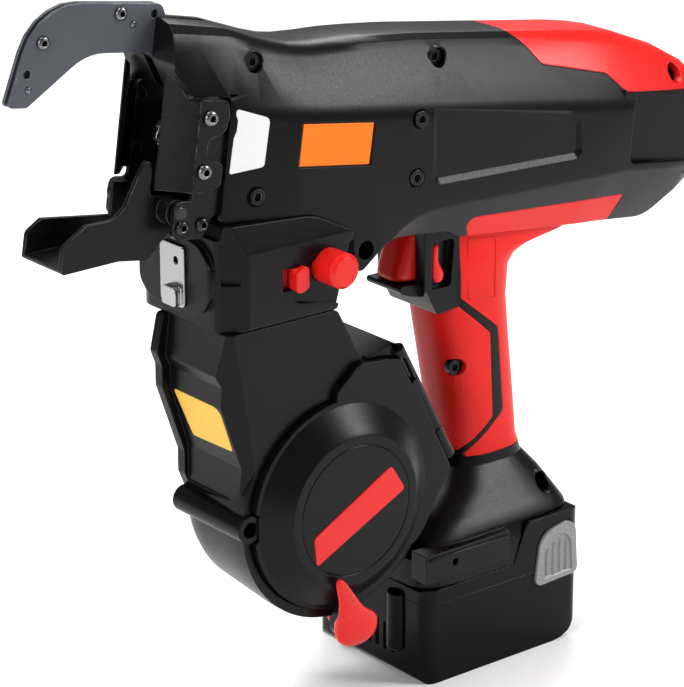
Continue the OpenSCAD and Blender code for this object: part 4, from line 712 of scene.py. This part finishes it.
# How far each row is drawn in, and its distance from the battery's middle
BUTTON_RIM = [(0.0, 35.1), (0.0, 36.5), (0.12, 36.75), (0.4, 36.9)]
BUTTON_RECESS = [(0.0, 36.9), (0.25, 36.75), (0.6, 36.1)]
RIDGE_X = [23.0, 26.6, 30.2, 33.8]
RIDGE_TOP = [43.6, 45.6, 46.4, 45.8]
RIDGE_FOOT = 31.6
RIDGE_FLOOR = 36.05
RIDGE_HALF_WIDTH = 0.85
RIDGE_HEIGHT = 0.95
# Farther than any point of the outlines from the button's middle
STAR_REACH = 60.0


def star(corners, count=96):
    """Points of a rounded outline at even angles round the button's middle."""
    path = [Vector(place[:2]) for place in rounded(corners, 12)]
    points = []
    for t in turns(count):
        end = BUTTON_MIDDLE + Vector((math.cos(t), math.sin(t))) * STAR_REACH
        for a, b in zip(path, path[1:] + path[:1]):
            hit = intersect_line_line_2d(BUTTON_MIDDLE, end, a, b)
            if hit:
                points.append(hit)
                break
    return points


def button_row(points, draw, y):
    """An outline drawn in toward the button's middle, on the plane y."""
    drawn = [p + (BUTTON_MIDDLE - p).normalized() * draw for p in points]
    return [point(p.x, y, p.y) for p in drawn]


def make_buttons():
    """Battery buttons with an arched recess and four upright ridges in it."""
    outline, arch = star(BUTTON_OUTLINE), star(BUTTON_ARCH)
    for name, side in (("left", -1), ("right", 1)):
        mesh = bmesh.new()
        loft(
            mesh,
            [button_row(outline, draw, side * y) for draw, y in BUTTON_RIM]
            + [button_row(arch, draw, side * y) for draw, y in BUTTON_RECESS],
        )
        for x, top in zip(RIDGE_X, RIDGE_TOP):
            sections = [
                (RIDGE_FOOT, 0.4), (RIDGE_FOOT + 0.3, 0.75), (RIDGE_FOOT + 1.0, 1.0),
                (top - 0.9, 1.0), (top - 0.2, 0.75), (top, 0.4),
            ]
            loft(mesh, [
                [
                    point(
                        x + RIDGE_HALF_WIDTH * share * math.cos(t),
                        side * (RIDGE_FLOOR + RIDGE_HEIGHT * share * max(0.0, math.sin(t))), z,
                    )
                    for t in turns(20)
                ]
                for z, share in sections
            ])
        add_form(
            name + "_button_face", mesh, LOOKS["grey_plastic"], name + "_catch",
            name + "_battery_button",
        )


RIB_ROOT = -42.3
RIB_Y = 17.0
RIB_DEPTH = 4.0
RIB_HALF_WIDTH = 4.7
RIB_SUNK = -0.1
# Height and share of the full section
RIB = [(10.7, 0.55), (11.1, 0.8), (12.0, 1.0), (36.0, 1.0), (36.6, 0.86)]
BEAD_Y, BEAD_Z = 36.6, 55.8
# x and radius
BEAD = [(-42.2, 0.3), (-41.8, 0.7), (-41.2, 0.9), (-0.4, 0.9), (0.2, 0.7), (0.6, 0.3)]


def make_battery_ribs():
    """Half round ribs on the battery's front, and beads along the foot's rails."""
    rib, bead = bmesh.new(), bmesh.new()
    for side in (-1, 1):
        loft(rib, [
            [
                point(
                    RIB_ROOT - RIB_DEPTH * share * max(RIB_SUNK, math.cos(t)),
                    side * RIB_Y + RIB_HALF_WIDTH * share * math.sin(t), z,
                )
                for t in turns(36)
            ]
            for z, share in RIB
        ])
        loft(bead, [
            [point(x, side * (BEAD_Y + r * math.cos(t)), BEAD_Z + r * math.sin(t)) for t in turns(20)]
            for x, r in BEAD
        ])
    add_form("battery_ribs", rib, LOOKS["battery_plastic"], "battery")
    add_form("foot_beads", bead, LOOKS["black_plastic"], "housing")


SMOOTH = smooth_group()
make_camera()
make_light()
make_floor()
dress_nodes()
make_plates()
make_fasteners()
make_trigger()
make_trigger_lock()
make_lever()
make_buttons()
make_battery_ribs()

scene.view_settings.view_transform = "Standard"
